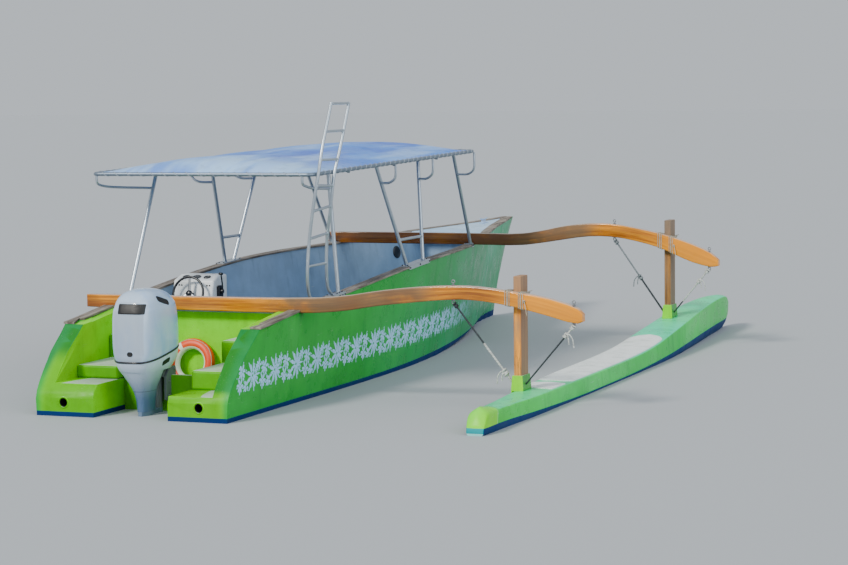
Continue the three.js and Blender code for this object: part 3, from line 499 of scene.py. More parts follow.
def build_post_wood(t):
    x, y, z = t.axes()
    fore = x.over(4.0)
    # Painted sunlight: the aft post is a brighter orange than the fore post.
    light = t.mix(fore, srgb(252, 164, 40), srgb(172, 116, 50))
    dark = t.mix(fore, srgb(190, 106, 16), srgb(104, 66, 28))
    colour, rough, height = t.use(
        GRAIN, Place=t.vector(z, x, y), Light=light, Dark=dark, Cracks=0.9, Roughness=0.6)
    grey = t.noise((9, 9, 2), 4).ramp(0.4, 0.7) * 0.6
    # Painted shade: the posts' port and starboard faces turn grey.
    shaded_flank = t.facing()[1].absolute().over(0.6) * 0.8
    top = (z - fore * 0.22).ramp(1.03, 1.09) * 0.75
    # Grey as weathering in patches, near the foot and at the top, and grey as painted shade on the side
    # faces.
    weathered_and_shaded = grey.highest(z.ramp(0.3, 0.6, 0.3, 0.0)).highest(shaded_flank).highest(top)
    return t.mix(weathered_and_shaded, colour, srgb(122, 108, 92)), rough, height


def build_weathered_wood(t):
    x, y, z = t.axes()
    colour, rough, height = t.use(
        GRAIN, Place=t.vector(x, y, z), Light=srgb(148, 139, 128), Dark=srgb(84, 76, 68), Cracks=1.0,
        Roughness=0.75)
    butt = (x - 0.6).wrapped(2.4).line(0.002, 0.005)
    stained = t.mix(t.noise((2.2, 9, 9), 4).ramp(0.5, 0.72) * 0.5, colour, srgb(74, 62, 54))
    return t.mix(butt, stained, (0.02, 0.02, 0.02, 1)), rough, height - butt


# Metal, cloth, rope and moulded finishes
# Painted shade: the engine's white gelcoat, dimmed and tinted blue.
WHITE_IN_SHADE = srgb(186, 202, 220)
CLOTH_SEAMS = (3.1, 4.6)


def metal(colour, amount, roughness):
    return lambda t: t.use(SALT, Colour=colour, Amount=amount, Roughness=roughness)


def build_canopy_fabric(t):
    x, y = t.axes()[:2]
    weave = (x * (math.tau / 0.004)).sine() + (y * (math.tau / 0.004)).sine()
    dirt = t.noise(7, 5).ramp(0.5, 0.75)
    crease = t.noise((1.3, 5, 1), 2).line(0.0, 0.02, 0.5)
    aft_seam, fore_seam = (x.line(0.004, 0.008, place) for place in CLOTH_SEAMS)
    seam = aft_seam.highest(fore_seam)
    tone = t.mix(t.noise((0.9, 1.4, 1)).ramp(0.35, 0.65), srgb(14, 92, 206), srgb(48, 134, 228))
    # Painted highlights: a white sheen towards the aft edge and in long streaks over the blue.
    shine = t.noise((0.5, 3.0, 1)).ramp(0.46, 0.68)
    aft_sheen = x.ramp(1.5, 3.2, 0.85, 0.0) * t.noise((0.9, 2.6, 1), 2).ramp(0.3, 0.6, 0.4, 1.0)
    bleached_and_sheen = t.mix((aft_sheen * 0.85 + shine * 0.5).lowest(0.8), tone, srgb(176, 216, 250))
    soiled = t.mix(dirt * 0.25, bleached_and_sheen, srgb(104, 112, 118))
    height = weave * 0.075 + crease * 0.5 + seam * 0.5
    return t.mix(seam * 0.5, soiled, srgb(60, 88, 136)), dirt.ramp(0, 1, 0.28, 0.46), height


def rope(colour, soiled, pitch):
    def build(t):
        along, around = t.route()
        shade, height = t.use(
            STRANDS, Along=along, Around=around, Pitch=pitch, Colour=colour, Soiled=soiled)
        return shade, None, height
    return build


def moulded(colour, shade, roughness):
    def build(t):
        marks = t.noise((3.5, 3.5, 1.4), 4)
        drips = t.noise((26, 26, 3)).ramp(0.6, 0.78)
        toned = t.mix(marks.ramp(0.35, 0.7) * 0.5, colour, shade)
        rough = marks.ramp(0.3, 0.7, roughness - 0.05, roughness + 0.08)
        return t.mix(drips * 0.12, toned, (0.2, 0.2, 0.18, 1)), rough, t.noise(400, 1) * 0.2 + marks * 0.3
    return build


def build_cowl(t):
    """The covers' upper part: white gelcoat, tinted blue in patches as painted sky reflection, and greyer
    on its aft face as painted shade.
    """
    marks = t.noise((3.5, 3.5, 1.4), 4)
    # Painted shade: the aft face turns grey. Painted sky reflection: blue over the whole cowl, more in
    # patches.
    aft = (t.facing()[0] * -1.0).ramp(0.75, 0.95) * 0.55
    toned = t.mix(marks.ramp(0.35, 0.7) * 0.6 + 0.15, WHITE_IN_SHADE, srgb(112, 162, 218))
    peel = t.noise(700, 1) * 0.2
    return t.mix(aft, toned, srgb(140, 148, 156)), marks.ramp(0.3, 0.7, 0.16, 0.28), peel + marks * 0.3


def build_pan(t):
    """The covers' lower part: darker blue-grey towards its lower end as painted shade and painted water
    reflection, with one joint line round it.
    """
    z = t.axes()[2]
    marks = t.noise((3.5, 3.5, 1.4), 4)
    joint = z.line(0.002, 0.004, 0.235)
    tone = t.mix(z.ramp(0.12, 0.56, 1.0, 0.0), WHITE_IN_SHADE, srgb(66, 94, 128))
    lined = t.mix(joint * 0.7, tone, (0.02, 0.03, 0.04, 1))
    return lined, marks.ramp(0.3, 0.7, 0.2, 0.34), marks * 0.3 - joint


def build_pad_foam(t):
    x, y = t.axes()[:2]
    cut = (x + y).wrapped(0.03).line(0.001, 0.004).highest((x - y).wrapped(0.03).line(0.001, 0.004))
    dirt = t.noise(6, 5).ramp(0.46, 0.72)
    tone = t.mix(dirt * 0.45, srgb(240, 246, 246), srgb(176, 184, 180))
    return t.mix(cut * 0.35, tone, srgb(120, 128, 128)), dirt.ramp(0, 1, 0.6, 0.85), cut * -1.0


def build_dial(t):
    along, around = t.route()
    tick = (around * 24).wrapped(1.0).absolute().under(0.14) * along.over(0.65) * along.under(0.9)
    return t.mix(tick, srgb(18, 22, 28), srgb(225, 230, 235)), t.noise(40, 2).ramp(0, 1, 0.15, 0.3), None


FINISH = {
    "hull": material("hull_paint", build_hull_paint, 0.25, Specular_IOR_Level=0.08),
    "lime": material("lime_paint", build_lime_paint, 0.35, 0.0015, Specular_IOR_Level=0.12),
    "cockpit": material("cockpit_paint", build_cockpit_paint, 0.4, Specular_IOR_Level=0.35),
    "deck": material("deck_paint", build_deck_paint),
    "float": material("float_paint", build_float_paint, 0.25, Specular_IOR_Level=0.12),
    "beam": material(
        "varnished_wood", build_varnished_wood, 0.3, 0.0015, Coat_Weight=0.2, Coat_Roughness=0.12),
    "post": material("post_wood", build_post_wood, 0.7, 0.004),
    "cap": material("weathered_wood", build_weathered_wood, 0.7, 0.003),
    "cover": material("canopy_fabric", build_canopy_fabric, 0.4, 0.003, Specular_IOR_Level=0.18),
    "pad": material("pad_foam", build_pad_foam, 0.6, 0.003),
    "engine": material("engine_shell", build_cowl, 0.06, 0.0008, Coat_Weight=0.5),
    "pan": material("engine_pan", build_pan, 0.06, 0.0008, Coat_Weight=0.4),
    "dial": material("dial_face", build_dial),
}
# Finish, material, colour, salt, roughness, the bump's strength and depth, and the share of metal
METALS = (
    ("tube", "tube_metal", (176, 186, 196), 0.6, 0.34, 0.1, 0.0005, 0.85),
    ("frame", "frame_metal", (118, 132, 148), 0.4, 0.4, 0.1, 0.0005, 0.7),
    ("bolt", "bolt_metal", (150, 154, 158), 0.8, 0.38, 0.2, 0.0005, 1.0),
    ("propeller", "propeller_metal", (176, 172, 162), 0.3, 0.3, 0.2, 0.0006, 1.0),
)
for name, label, colour, salt, roughness, bump, depth, share in METALS:
    FINISH[name] = material(label, metal(srgb(*colour), salt, roughness), bump, depth, Metallic=share)
# Finish, material, colour, soiled colour, the strands' pitch, the bump's strength and depth, and roughness
ROPES = (
    ("lacing", "lacing_cord", (176, 186, 198), (110, 120, 132), 0.02, 0.4, 0.001, 0.8),
    ("cord", "lashing_cord", (192, 184, 164), (138, 128, 108), 0.016, 0.6, 0.001, 0.85),
    ("rope", "stay_rope", (208, 212, 208), (138, 142, 136), 0.03, 0.6, 0.002, 0.8),
    ("dark_rope", "tarred_line", (52, 58, 64), (28, 30, 34), 0.03, 0.5, 0.001, 0.7),
    ("grey_rope", "grey_line", (128, 136, 142), (84, 92, 98), 0.03, 0.5, 0.001, 0.75),
)
for name, label, colour, soiled, pitch, bump, depth, roughness in ROPES:
    FINISH[name] = material(
        label, rope(srgb(*colour), srgb(*soiled), pitch), bump, depth, Roughness=roughness)
# Finish, material, colour, shade, roughness, and the bump's strength and depth
MOULDINGS = (
    ("ring", "ring_shell", (228, 64, 10), (226, 92, 40), 0.45, 0.3, 0.001),
    ("band", "ring_band", (222, 224, 216), (180, 180, 168), 0.6, 0.3, 0.001),
    # Painted shade: the gearcase's dark blue-grey on the engine's white paint.
    ("leg", "engine_paint", (92, 114, 140), (72, 92, 118), 0.32, 0.1, 0.001),
    ("black", "black_moulding", (22, 26, 32), (40, 46, 54), 0.3, 0.2, 0.0006),
    ("vent", "vent_moulding", (5, 7, 11), (16, 19, 24), 0.55, 0.2, 0.0006),
    ("bracket", "bracket_paint", (86, 92, 98), (110, 116, 120), 0.42, 0.3, 0.001),
    ("console", "console_gelcoat", (226, 230, 230), (198, 204, 204), 0.3, 0.1, 0.001),
)
for name, label, colour, shade, roughness, bump, depth in MOULDINGS:
    FINISH[name] = material(label, moulded(srgb(*colour), srgb(*shade), roughness), bump, depth)


# Shapes
def angles(count):
    """Equal turns round a circle."""
    return [math.tau * k / count for k in range(count)]


def clamped(value):
    return min(1.0, max(0.0, value))


def hermite(start, end, leave, arrive, t):
    """A place on a curve between two ends, with the way that it leaves one and arrives at the other."""
    return (
        start * (2 * t ** 3 - 3 * t ** 2 + 1) + leave * (t ** 3 - 2 * t ** 2 + t)
        + end * (3 * t ** 2 - 2 * t ** 3) + arrive * (t ** 3 - t ** 2))


def row_at(rows, place):
    """A table's values at a place, on a smooth curve through its rows; the first column is the place."""
    last = len(rows) - 1
    i = max(k for k in range(last) if rows[k][0] <= place or k == 0)
    before, one, two, after = rows[max(0, i - 1)], rows[i], rows[i + 1], rows[min(last, i + 2)]
    span = two[0] - one[0]
    t = (place - one[0]) / span
    return [
        hermite(b, c, (c - a) / (two[0] - before[0]) * span, (d - b) / (after[0] - one[0]) * span, t)
        for a, b, c, d in zip(before, one, two, after)]


def smooth_path(points, count):
    """Points along a smooth centripetal curve through a route."""
    route = [Vector(p) for p in points]
    route = [route[0] * 2 - route[1], *route, route[-1] * 2 - route[-2]]
    made = []
    spans = len(route) - 3
    for step in range(count + 1):
        place = step / count * spans
        i = min(int(place), spans - 1)
        a, b, c, d = route[i:i + 4]
        s = [max((q - p).length ** 0.5, 1e-4) for p, q in ((a, b), (b, c), (c, d))]
        leave = ((b - a) / s[0] - (c - a) / (s[0] + s[1]) + (c - b) / s[1]) * s[1]
        arrive = ((c - b) / s[1] - (d - b) / (s[1] + s[2]) + (d - c) / s[2]) * s[1]
        made.append(hermite(b, c, leave, arrive, place - i))
    return made


def rounded(before, corner, after, reach, most, steps):
    """Points that round a corner, over at most a share of each side."""
    back, on = before - corner, after - corner
    cut = min(reach, back.length * most, on.length * most)
    start, end = corner + back.normalized() * cut, corner + on.normalized() * cut
    shares = [k / steps for k in range(steps + 1)]
    return [start * (1 - t) ** 2 + corner * (2 * t * (1 - t)) + end * t ** 2 for t in shares]


def rounded_loop(corners, reach, steps):
    """A closed path through corners, with a bend at each."""
    corners = [Vector(c) for c in corners]
    following = corners[1:] + corners[:1]
    bends = [rounded(corners[i - 1], c, following[i], reach, 0.45, steps) for i, c in enumerate(corners)]
    return [point for bend in bends for point in bend]


def rounded_rectangle(steps):
    """For each point of the four corners: two signs, and the cosine and sine of its turn."""
    for su, sv in ((1, 1), (-1, 1), (-1, -1), (1, -1)):
        for k in range(steps + 1):
            turn = math.pi / 2 * k / steps
            turn = turn if su * sv > 0 else math.pi / 2 - turn
            yield su, sv, math.cos(turn), math.sin(turn)


def between(start, end, count):
    return [start.lerp(end, i / count) for i in range(count + 1)]


def circle(centre, axis, radius, count=24):
    axis = axis.normalized()
    across = axis.orthogonal().normalized()
    other = axis.cross(across)
    return [Vector(centre) + (across * math.cos(a) + other * math.sin(a)) * radius for a in angles(count)]


def bar_rings(path, radius, sides, closed=False, lobes=0, pitch=0.04):
    """Rings of points around a path, square to it, with no sudden turn between them."""
    path = [Vector(p) for p in path]
    count = len(path)
    ways = []
    for i in range(count):
        before = path[i - 1] if i or closed else path[0]
        after = path[(i + 1) % count] if i + 1 < count or closed else path[-1]
        ways.append((after - before).normalized())
    start = ways[0].orthogonal().normalized()
    starts = [start]
    for one, two in zip(ways, ways[1:]):
        starts.append(one.rotation_difference(two) @ starts[-1])
    leftover = 0.0
    if closed:
        end = ways[-1].rotation_difference(ways[0]) @ starts[-1]
        leftover = math.atan2(end.cross(start).dot(ways[0]), end.dot(start))
    rings = []
    length = 0.0
    for i, place in enumerate(path):
        length += (place - path[i - 1]).length if i else 0.0
        size = radius[i] if isinstance(radius, list) else radius
        across = Matrix.Rotation(leftover * i / count, 3, ways[i]) @ starts[i]
        other = ways[i].cross(across)
        ring = []
        for angle in angles(sides):
            reach = size
            if lobes:
                reach *= 0.80 + 0.20 * abs(math.cos(lobes / 2 * (angle - math.tau * length / pitch)))
            ring.append(place + across * (reach * math.cos(angle)) + other * (reach * math.sin(angle)))
        rings.append(ring)
    return rings


class Shape:
    """Points and faces of one piece, gathered from several forms."""
    def __init__(self):
        self.points = []
        self.faces = []
        self.paints = []
        self.routes = []
        self.layers = []

    def add(self, points, faces, paint=0, routes=None, layers=None):
        base = len(self.points)
        self.points.extend(Vector(p) for p in points)
        self.layers.extend(layers or [0.0] * len(points))
        for i, face in enumerate(faces):
            self.faces.append([base + k for k in face])
            self.paints.append(paint)
            self.routes.extend(routes[i] if routes else [(0.0, 0.0)] * len(face))

    def rings(self, rings, paint=0, closed=False, capped=True, layers=None):
        """A skin through rings of points that all have the same count."""
        count = len(rings[0])
        middles = [sum((Vector(p) for p in ring), Vector()) / count for ring in rings]
        lengths = [0.0]
        for one, two in zip(middles, middles[1:]):
            lengths.append(lengths[-1] + (two - one).length)
        faces = []
        routes = []
        for i in range(len(rings) if closed else len(rings) - 1):
            j = (i + 1) % len(rings)
            step = lengths[j] if j else lengths[-1] + lengths[1]
            for k in range(count):
                n = (k + 1) % count
                faces.append([i * count + k, i * count + n, j * count + n, j * count + k])
                near, far = k / count, (k + 1) / count
                routes.append([(lengths[i], near), (lengths[i], far), (step, far), (step, near)])
        if capped and not closed:
            last = (len(rings) - 1) * count
            faces += [list(range(count))[::-1], [last + k for k in range(count)]]
            routes += [[(0.0, 0.5)] * count, [(lengths[-1], 0.5)] * count]
        self.add([p for ring in rings for p in ring], faces, paint, routes, layers)

    def tube(self, path, radius, sides=14, closed=False, lobes=0, pitch=0.04):
        """A round bar along a path; lobes make it a twisted rope."""
        self.rings(bar_rings(path, radius, sides, closed, lobes, pitch), 0, closed)

    def turned(self, centre, axis, profile, sides=24):
        """A turned form: the profile is (radius, height along the axis)."""
        axis = axis.normalized()
        self.rings([circle(Vector(centre) + axis * high, axis, radius, sides) for radius, high in profile])

    def slab(self, low, high, soft=0.004):
        """A box with eased edges, between two corners."""
        x0, y0, z0 = low
        x1, y1, z1 = high

        def level(z, cut):
            aft, fore, near, far = x0 + cut, x1 - cut, y0 + cut, y1 - cut
            return [
                (aft + soft, near, z), (fore - soft, near, z), (fore, near + soft, z),
                (fore, far - soft, z), (fore - soft, far, z), (aft + soft, far, z),
                (aft, far - soft, z), (aft, near + soft, z)]
        self.rings([level(z0, soft), level(z0 + soft, 0), level(z1 - soft, 0), level(z1, soft)])

    def weld(self, centre, axis, radius):
        """A rippled bead where one tube meets another."""
        ripple = [0.0032 + 0.0008 * math.sin(k * 2.2) for k in range(40)]
        self.tube(circle(centre, axis, radius, 40), ripple, 6, closed=True)

    def rung(self, one, two, radius, sides, count, inset):
        """A bar between two tubes, with a bead at each end."""
        way = (two - one).normalized()
        self.tube(between(one, two, count), radius, sides)
        self.weld(one + way * inset, way, radius)
        self.weld(two - way * inset, way, radius)

    def made(self, name, *finishes, sharp=35):
        mesh = bpy.data.meshes.new(name)
        mesh.from_pydata(self.points, [], self.faces)
        mesh.uv_layers.new(name="route").data.foreach_set("uv", [v for pair in self.routes for v in pair])
        mesh.attributes.new("layer", "FLOAT", "POINT").data.foreach_set("value", self.layers)
        mesh.polygons.foreach_set("material_index", self.paints)
        for finish in finishes:
            mesh.materials.append(FINISH[finish])
        edit = bmesh.new()
        edit.from_mesh(mesh)
        bmesh.ops.recalc_face_normals(edit, faces=edit.faces)
        edit.to_mesh(mesh)
        edit.free()
        smooth(mesh, sharp)
        return show(bpy.data.objects.new(name, mesh))

    def placed(self, name, finish, slot, *stands_for, body="root", sharp=35):
        return placed(self.made(name, finish, sharp=sharp), body, slot, *stands_for)


def smooth(mesh, sharp):
    mesh.shade_smooth()
    mesh.set_sharp_from_angle(angle=math.radians(sharp))


def placed(obj, body, slot, *stands_for):
    """Gives a piece its body and hides the nodes that it replaces; the slot is not used."""
    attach(obj, body)
    if stands_for:
        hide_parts(*stands_for)
    return obj


def baked(obj):
    """The object with its modifiers applied to its mesh."""
    graph = bpy.context.evaluated_depsgraph_get()
    mesh = bpy.data.meshes.new_from_object(obj.evaluated_get(graph))
    old = obj.data
    obj.modifiers.clear()
    obj.data = mesh
    bpy.data.meshes.remove(old)
    mesh.name = obj.name
    return obj


def bevelled(obj, width, segments, **limit):
    bevel = obj.modifiers.new("eased_edges", "BEVEL")
    bevel.width = width
    bevel.segments = segments
    for label, value in limit.items():
        setattr(bevel, label, value)
    bevel.harden_normals = True
    return baked(obj)


def dressed(node, name, finish, width, segments, sharp):
    """A copy of a CAD node with its flat faces joined and its edges rounded."""
    obj = show(bpy.data.objects.new(name, nodes[node].data.copy()))
    edit = bmesh.new()
    edit.from_mesh(obj.data)
    bmesh.ops.remove_doubles(edit, verts=edit.verts, dist=2e-5)
    bmesh.ops.dissolve_limit(edit, angle_limit=math.radians(0.6), verts=edit.verts, edges=edit.edges)
    edit.to_mesh(obj.data)
    edit.free()
    obj.data.materials.clear()
    obj.data.materials.append(FINISH[finish])
    smooth(obj.data, sharp)
    if width:
        bevelled(obj, width, segments, limit_method="ANGLE", angle_limit=math.radians(sharp))
    return obj


def round_edges(obj, wanted, width, segments):
    """Rounds the sharp edges whose two ends both pass the test."""
    edit = bmesh.new()
    edit.from_mesh(obj.data)
    weight = edit.edges.layers.float.new("bevel_weight_edge")
    for edge in edit.edges:
        sharp = len(edge.link_faces) == 2 and edge.calc_face_angle(0) > math.radians(30)
        if sharp and all(wanted(v.co) for v in edge.verts):
            edge[weight] = 1.0
    edit.to_mesh(obj.data)
    edit.free()
    bevelled(obj, width, segments, limit_method="WEIGHT")


class Probe:
    """Finds places on the surfaces of CAD nodes."""
    def __init__(self, *names):
        points = []
        faces = []
        for name in names:
            base = len(points)
            mesh = nodes[name].data
            points.extend(v.co.copy() for v in mesh.vertices)
            faces.extend([base + k for k in p.vertices] for p in mesh.polygons)
        self.tree = BVHTree.FromPolygons(points, faces)

    def hit(self, start, way):
        return self.tree.ray_cast(Vector(start), way)[0]

    def from_above(self, x, y):
        hit = self.hit((x, y, 6), -Z)
        return hit.z if hit else None

    def from_below(self, x, y):
        hit = self.hit((x, y, -3), Z)
        return hit.z if hit else None


# Copies of a small part on many places, by Geometry Nodes
def copies_tree():
    tree = bpy.data.node_groups.new("copies_on_places", "GeometryNodeTree")
    sockets = (
        ("Places", "INPUT", "Geometry"), ("Part", "INPUT", "Object"), ("Finish", "INPUT", "Material"),
        ("Copies", "OUTPUT", "Geometry"))
    keys = [
        tree.interface.new_socket(label, in_out=way, socket_type="NodeSocket" + kind).identifier
        for label, way, kind in sockets]
    source, sink, points, turn, rotation, part, instances, real, painted = map(tree.nodes.new, (
        "NodeGroupInput", "NodeGroupOutput", "GeometryNodeMeshToPoints", "GeometryNodeInputNamedAttribute",
        "FunctionNodeEulerToRotation", "GeometryNodeObjectInfo", "GeometryNodeInstanceOnPoints",
        "GeometryNodeRealizeInstances", "GeometryNodeSetMaterial"))
    turn.data_type = "FLOAT_VECTOR"
    turn.inputs["Name"].default_value = "turn"
    for start, output, end, socket in (
        (source, "Places", points, "Mesh"), (points, "Points", instances, "Points"),
        (turn, "Attribute", rotation, "Euler"), (rotation, "Rotation", instances, "Rotation"),
        (source, "Part", part, "Object"), (part, "Geometry", instances, "Instance"),
        (instances, "Instances", real, "Geometry"), (real, "Geometry", painted, "Geometry"),
        (source, "Finish", painted, "Material"), (painted, "Geometry", sink, "Copies"),
    ):
        tree.links.new(start.outputs[output], end.inputs[socket])
    return tree, keys[1], keys[2]


COPIES, PART_INPUT, FINISH_INPUT = copies_tree()


def copies(name, shape, places, finish, slot, sharp=35):
    """One piece of a small part's copies; a place is the matrix that sets a copy down."""
    part = shape.made(f"{name}_part", finish, sharp=sharp)
    mesh = bpy.data.meshes.new(name)
    mesh.from_pydata([m.to_translation() for m in places], [], [])
    turns = [v for m in places for v in m.to_euler()]
    mesh.attributes.new("turn", "FLOAT_VECTOR", "POINT").data.foreach_set("vector", turns)
    obj = show(bpy.data.objects.new(name, mesh))
    modifier = obj.modifiers.new("copies", "NODES")
    modifier.node_group = COPIES
    modifier[PART_INPUT] = part
    modifier[FINISH_INPUT] = FINISH[finish]
    baked(obj)
    bpy.data.objects.remove(part)
    placed(obj, "root", slot)


def upright(place, up=Z):
    """The matrix that sets a small part down, with its own Z along up and its X near the bow."""
    y = up.cross(X).normalized()
    turn = Matrix((y.cross(up), y, up)).transposed().to_4x4()
    return Matrix.Translation(Vector(place)) @ turn


def bolt_shape(size):
    """A hexagon head with a domed top, on a washer."""
    shape = Shape()
    shape.turned((0, 0, 0), Z, [(size, -0.002), (size, size * 0.16), (size * 0.92, size * 0.2)], 16)
    profile = [(0.66, 0.2), (0.68, 0.66), (0.6, 0.78), (0.3, 0.84)]
    shape.turned((0, 0, 0), Z, [(size * r, size * z) for r, z in profile], 6)
    return shape


# CAD pieces with rounded edges: node, piece, finish, slot, body, and the bevel's width, steps and angle
DRESSED = [
    ("cockpit_liner", "cockpit_skin", "cockpit", "cockpit_paint", "root", 0.006, 2, 35),
    ("transom_board", "transom_board_skin", "lime", "lime_paint", "root", 0.008, 3, 35),
    ("transom_bulkhead", "bulkhead_skin", "lime", "lime_paint", "root", 0.01, 3, 35),
    ("foredeck", "foredeck_panel", "deck", "deck_paint", "root", 0.004, 2, 30),
    ("helm_console", "helm_shell", "console", "console_gelcoat", "root", 0.022, 4, 30),
    ("engine_gearcase", "gearcase_skin", "leg", "engine_paint", "engine", 0.004, 3, 28),
    ("engine_clamp", "clamp_casting", "bracket", "bracket_paint", "root", 0.003, 2, 30),
    ("engine_swivel", "swivel_casting", "bracket", "bracket_paint", "engine_tilt", 0.003, 2, 30),
]
STEPS = ("lime", "lime_paint", "root", 0.026, 5, 35)
TIMBER_CAP = ("cap", "weathered_wood", "root", 0.005, 3, 30)
POST = ("post", "post_wood", "root", 0.007, 3, 30)
SOCKET = ("lime", "lime_paint", "root", 0.010, 3, 28)
for hand in ("port", "starboard"):
    DRESSED.append((f"stern_steps_{hand}", f"stern_treads_{hand}", *STEPS))
    for cap in ("gunwale_cap", "gunwale_cap_stern"):
        DRESSED.append((f"{cap}_{hand}", f"{cap}_timber_{hand}", *TIMBER_CAP))
for end in ENDS:
    DRESSED.append((f"post_{end}", f"post_{end}_timber", *POST))
    DRESSED.append((f"ama_socket_{end}", f"socket_{end}_block", *SOCKET))
for node, name, finish, slot, body, width, steps, angle in DRESSED:
    placed(dressed(node, name, finish, width, steps, angle), body, slot, node)


# Hull
CAPS = Probe(
    "gunwale_cap_port", "gunwale_cap_starboard", "gunwale_cap_stern_port", "gunwale_cap_stern_starboard")
DRAIN_Y = 0.700
DRAIN_Z = 0.130
DRAIN_R = 0.045


def cap_span(x, side):
    """Inner and outer edge of the gunwale's cap at a place along the boat."""
    found = [k / 200 for k in range(20, 260) if CAPS.from_above(x, side * k / 200) is not None]
    return (min(found), max(found)) if found else (0, 0)


def cap_point(x, side):
    """Middle of the top of the gunwale's cap."""
    near, far = cap_span(x, side)
    y = side * (near + far) / 2
    return Vector((x, y, CAPS.from_above(x, y)))


def at_stern(point):
    """Whether a point is on the stern's outer edges, away from the drains and the bottom."""
    drain = math.hypot(abs(point.y) - DRAIN_Y, point.z - DRAIN_Z) < 0.07 and point.x < 0.3
    return point.x < 0.95 and point.z > 0.0 and not drain


def make_hull():
    hull = dressed("hull_shell", "hull_skin", "hull", 0, 0, 40)
    round_edges(hull, at_stern, 0.026, 4)
    round_edges(hull, lambda p: p.x > 1.7 and p.z > -0.2, 0.006, 2)
    smooth(hull.data, 40)
    placed(hull, "root", "hull_paint", "hull_shell")


def make_drains():
    flanges = Shape()
    throats = Shape()
    flange = (
        (-0.002, 0.03), (-0.002, -0.004), (0, -0.006), (0.007, -0.006), (0.010, -0.003), (0.011, 0.002))
    throat = [(0.0385, 0.114), (0.0385, 0), (0.0424, 0), (0.0424, 0.120), (0.02, 0.122)]
    for side in SIDES:
        rings = [circle((x, side * DRAIN_Y, DRAIN_Z), X, DRAIN_R + wider, 32) for wider, x in flange]
        flanges.rings(rings, closed=True)
        throats.turned((0.006, side * DRAIN_Y, DRAIN_Z), X, throat)
    flanges.placed("drain_flanges", "lime", "lime_paint")
    throats.placed("drain_throats", "vent", "hull_paint")


def make_cap_screws():
    places = []
    for side in SIDES:
        x = 1.75
        while x < 10.3:
            near, far = cap_span(x, side)
            for y in (near + 0.022, far - 0.022):
                z = CAPS.from_above(x, side * y)
                if far - near > 0.08 and z:
                    places.append(upright((x, side * y, z)))
            x += 0.3
    plug = Shape()
    plug.turned((0, 0, 0), Z, [(0.007, -0.003), (0.007, 0.0008), (0.005, 0.0014)], 10)
    copies("cap_screws", plug, places, "bolt", "weathered_wood")


CLEAT_X = 9.72


def make_bow_fitting():
    """The bow's cleat: two low horns on a base."""
    z = Probe("foredeck").from_above(CLEAT_X, 0)
    shape = Shape()
    shape.slab((CLEAT_X - 0.09, -0.03, z - 0.004), (CLEAT_X + 0.09, 0.03, z + 0.012))
    for end in (-0.045, 0.045):
        shape.turned((CLEAT_X + end, 0, z + 0.006), Z, [(0.02, 0), (0.013, 0.012), (0.012, 0.045)], 14)
    horns = ((-0.14, 0.066), (-0.07, 0.052), (0, 0.050), (0.07, 0.052), (0.14, 0.066))
    bar = smooth_path([(CLEAT_X + along, 0, z + high) for along, high in horns], 16)
    shape.tube(bar, [0.006 + 0.007 * math.sin(math.pi * i / 16) for i in range(17)], 12)
    shape.placed("bow_cleat", "engine", "deck_paint")


HATCH_X = 8.0
HATCH_Z = 0.976


def make_side_hatch():
    """A round black hatch on the cockpit's port side."""
    place, facing = Probe("cockpit_liner").tree.ray_cast(Vector((HATCH_X, 0, HATCH_Z)), Y)[:2]
    inward = facing.normalized()
    if inward.y > 0:
        inward.negate()
    profile = [
        (0.075, -0.004), (0.078, 0.006), (0.070, 0.012), (0.060, 0.008), (0.056, 0.009), (0.02, 0.011)]
    shape = Shape()
    shape.turned(place, inward, profile, 28)
    shape.placed("side_hatch", "black", "cockpit_paint")


def make_bench(name):
    """Three boards on two bearers and a box."""
    low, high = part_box(name)
    probe = Probe(name)

    def half_width(x, z, side=1):
        hit = probe.hit((x, side * 6, z), Y * -side)
        return abs(hit.y) if hit else high.y
    shape = Shape()
    width = (high.x - low.x) / 3
    for k in range(3):
        x0 = low.x + k * width + 0.004
        x1 = low.x + (k + 1) * width - 0.004
        half = min(half_width(x, high.z - 0.02, side) for x in (x0, x1) for side in SIDES)
        shape.slab((x0, -half + 0.003, high.z - 0.028), (x1, half - 0.003, high.z), 0.005)
    end = min(half_width(x, high.z - 0.04) for x in (low.x + 0.01, high.x - 0.01))
    for x in (low.x + 0.03, high.x - 0.075):
        shape.slab((x, -end + 0.006, high.z - 0.045), (x + 0.045, end - 0.006, high.z - 0.0285), 0.003)
    shape.slab((low.x + 0.06, -0.26, low.z), (high.x - 0.06, 0.26, high.z - 0.0455), 0.012)
    shape.placed(f"{name}_boards", "cockpit", "cockpit_paint", name)


make_hull()
make_drains()
make_cap_screws()
make_bow_fitting()
make_side_hatch()
make_bench("bench_aft")
make_bench("bench_fore")


# Helm
DASH_LOW = Vector((2.560, 0, 0.760))
DASH_HIGH = Vector((2.640, 0, 1.060))
DASH_UP = (DASH_HIGH - DASH_LOW).normalized()
DASH_OUT = Vector((-DASH_UP.z, 0, DASH_UP.x))
TOP_HIGH = Vector((2.790, 0, 1.105))
# The place across the boat and the radius of each dial, and the places of the switches
DIALS = ((0.54, 0.038), (0.66, 0.046), (0.78, 0.038))
SWITCHES = (0.47, 0.50, 0.79, 0.82, 0.85)
WHEEL_PLACE = Vector((2.600, 0.660, 0.910))
WHEEL_STAND = 0.092
WHEEL_R = 0.170
RIM_R = 0.013
SPOKE_T = 0.006


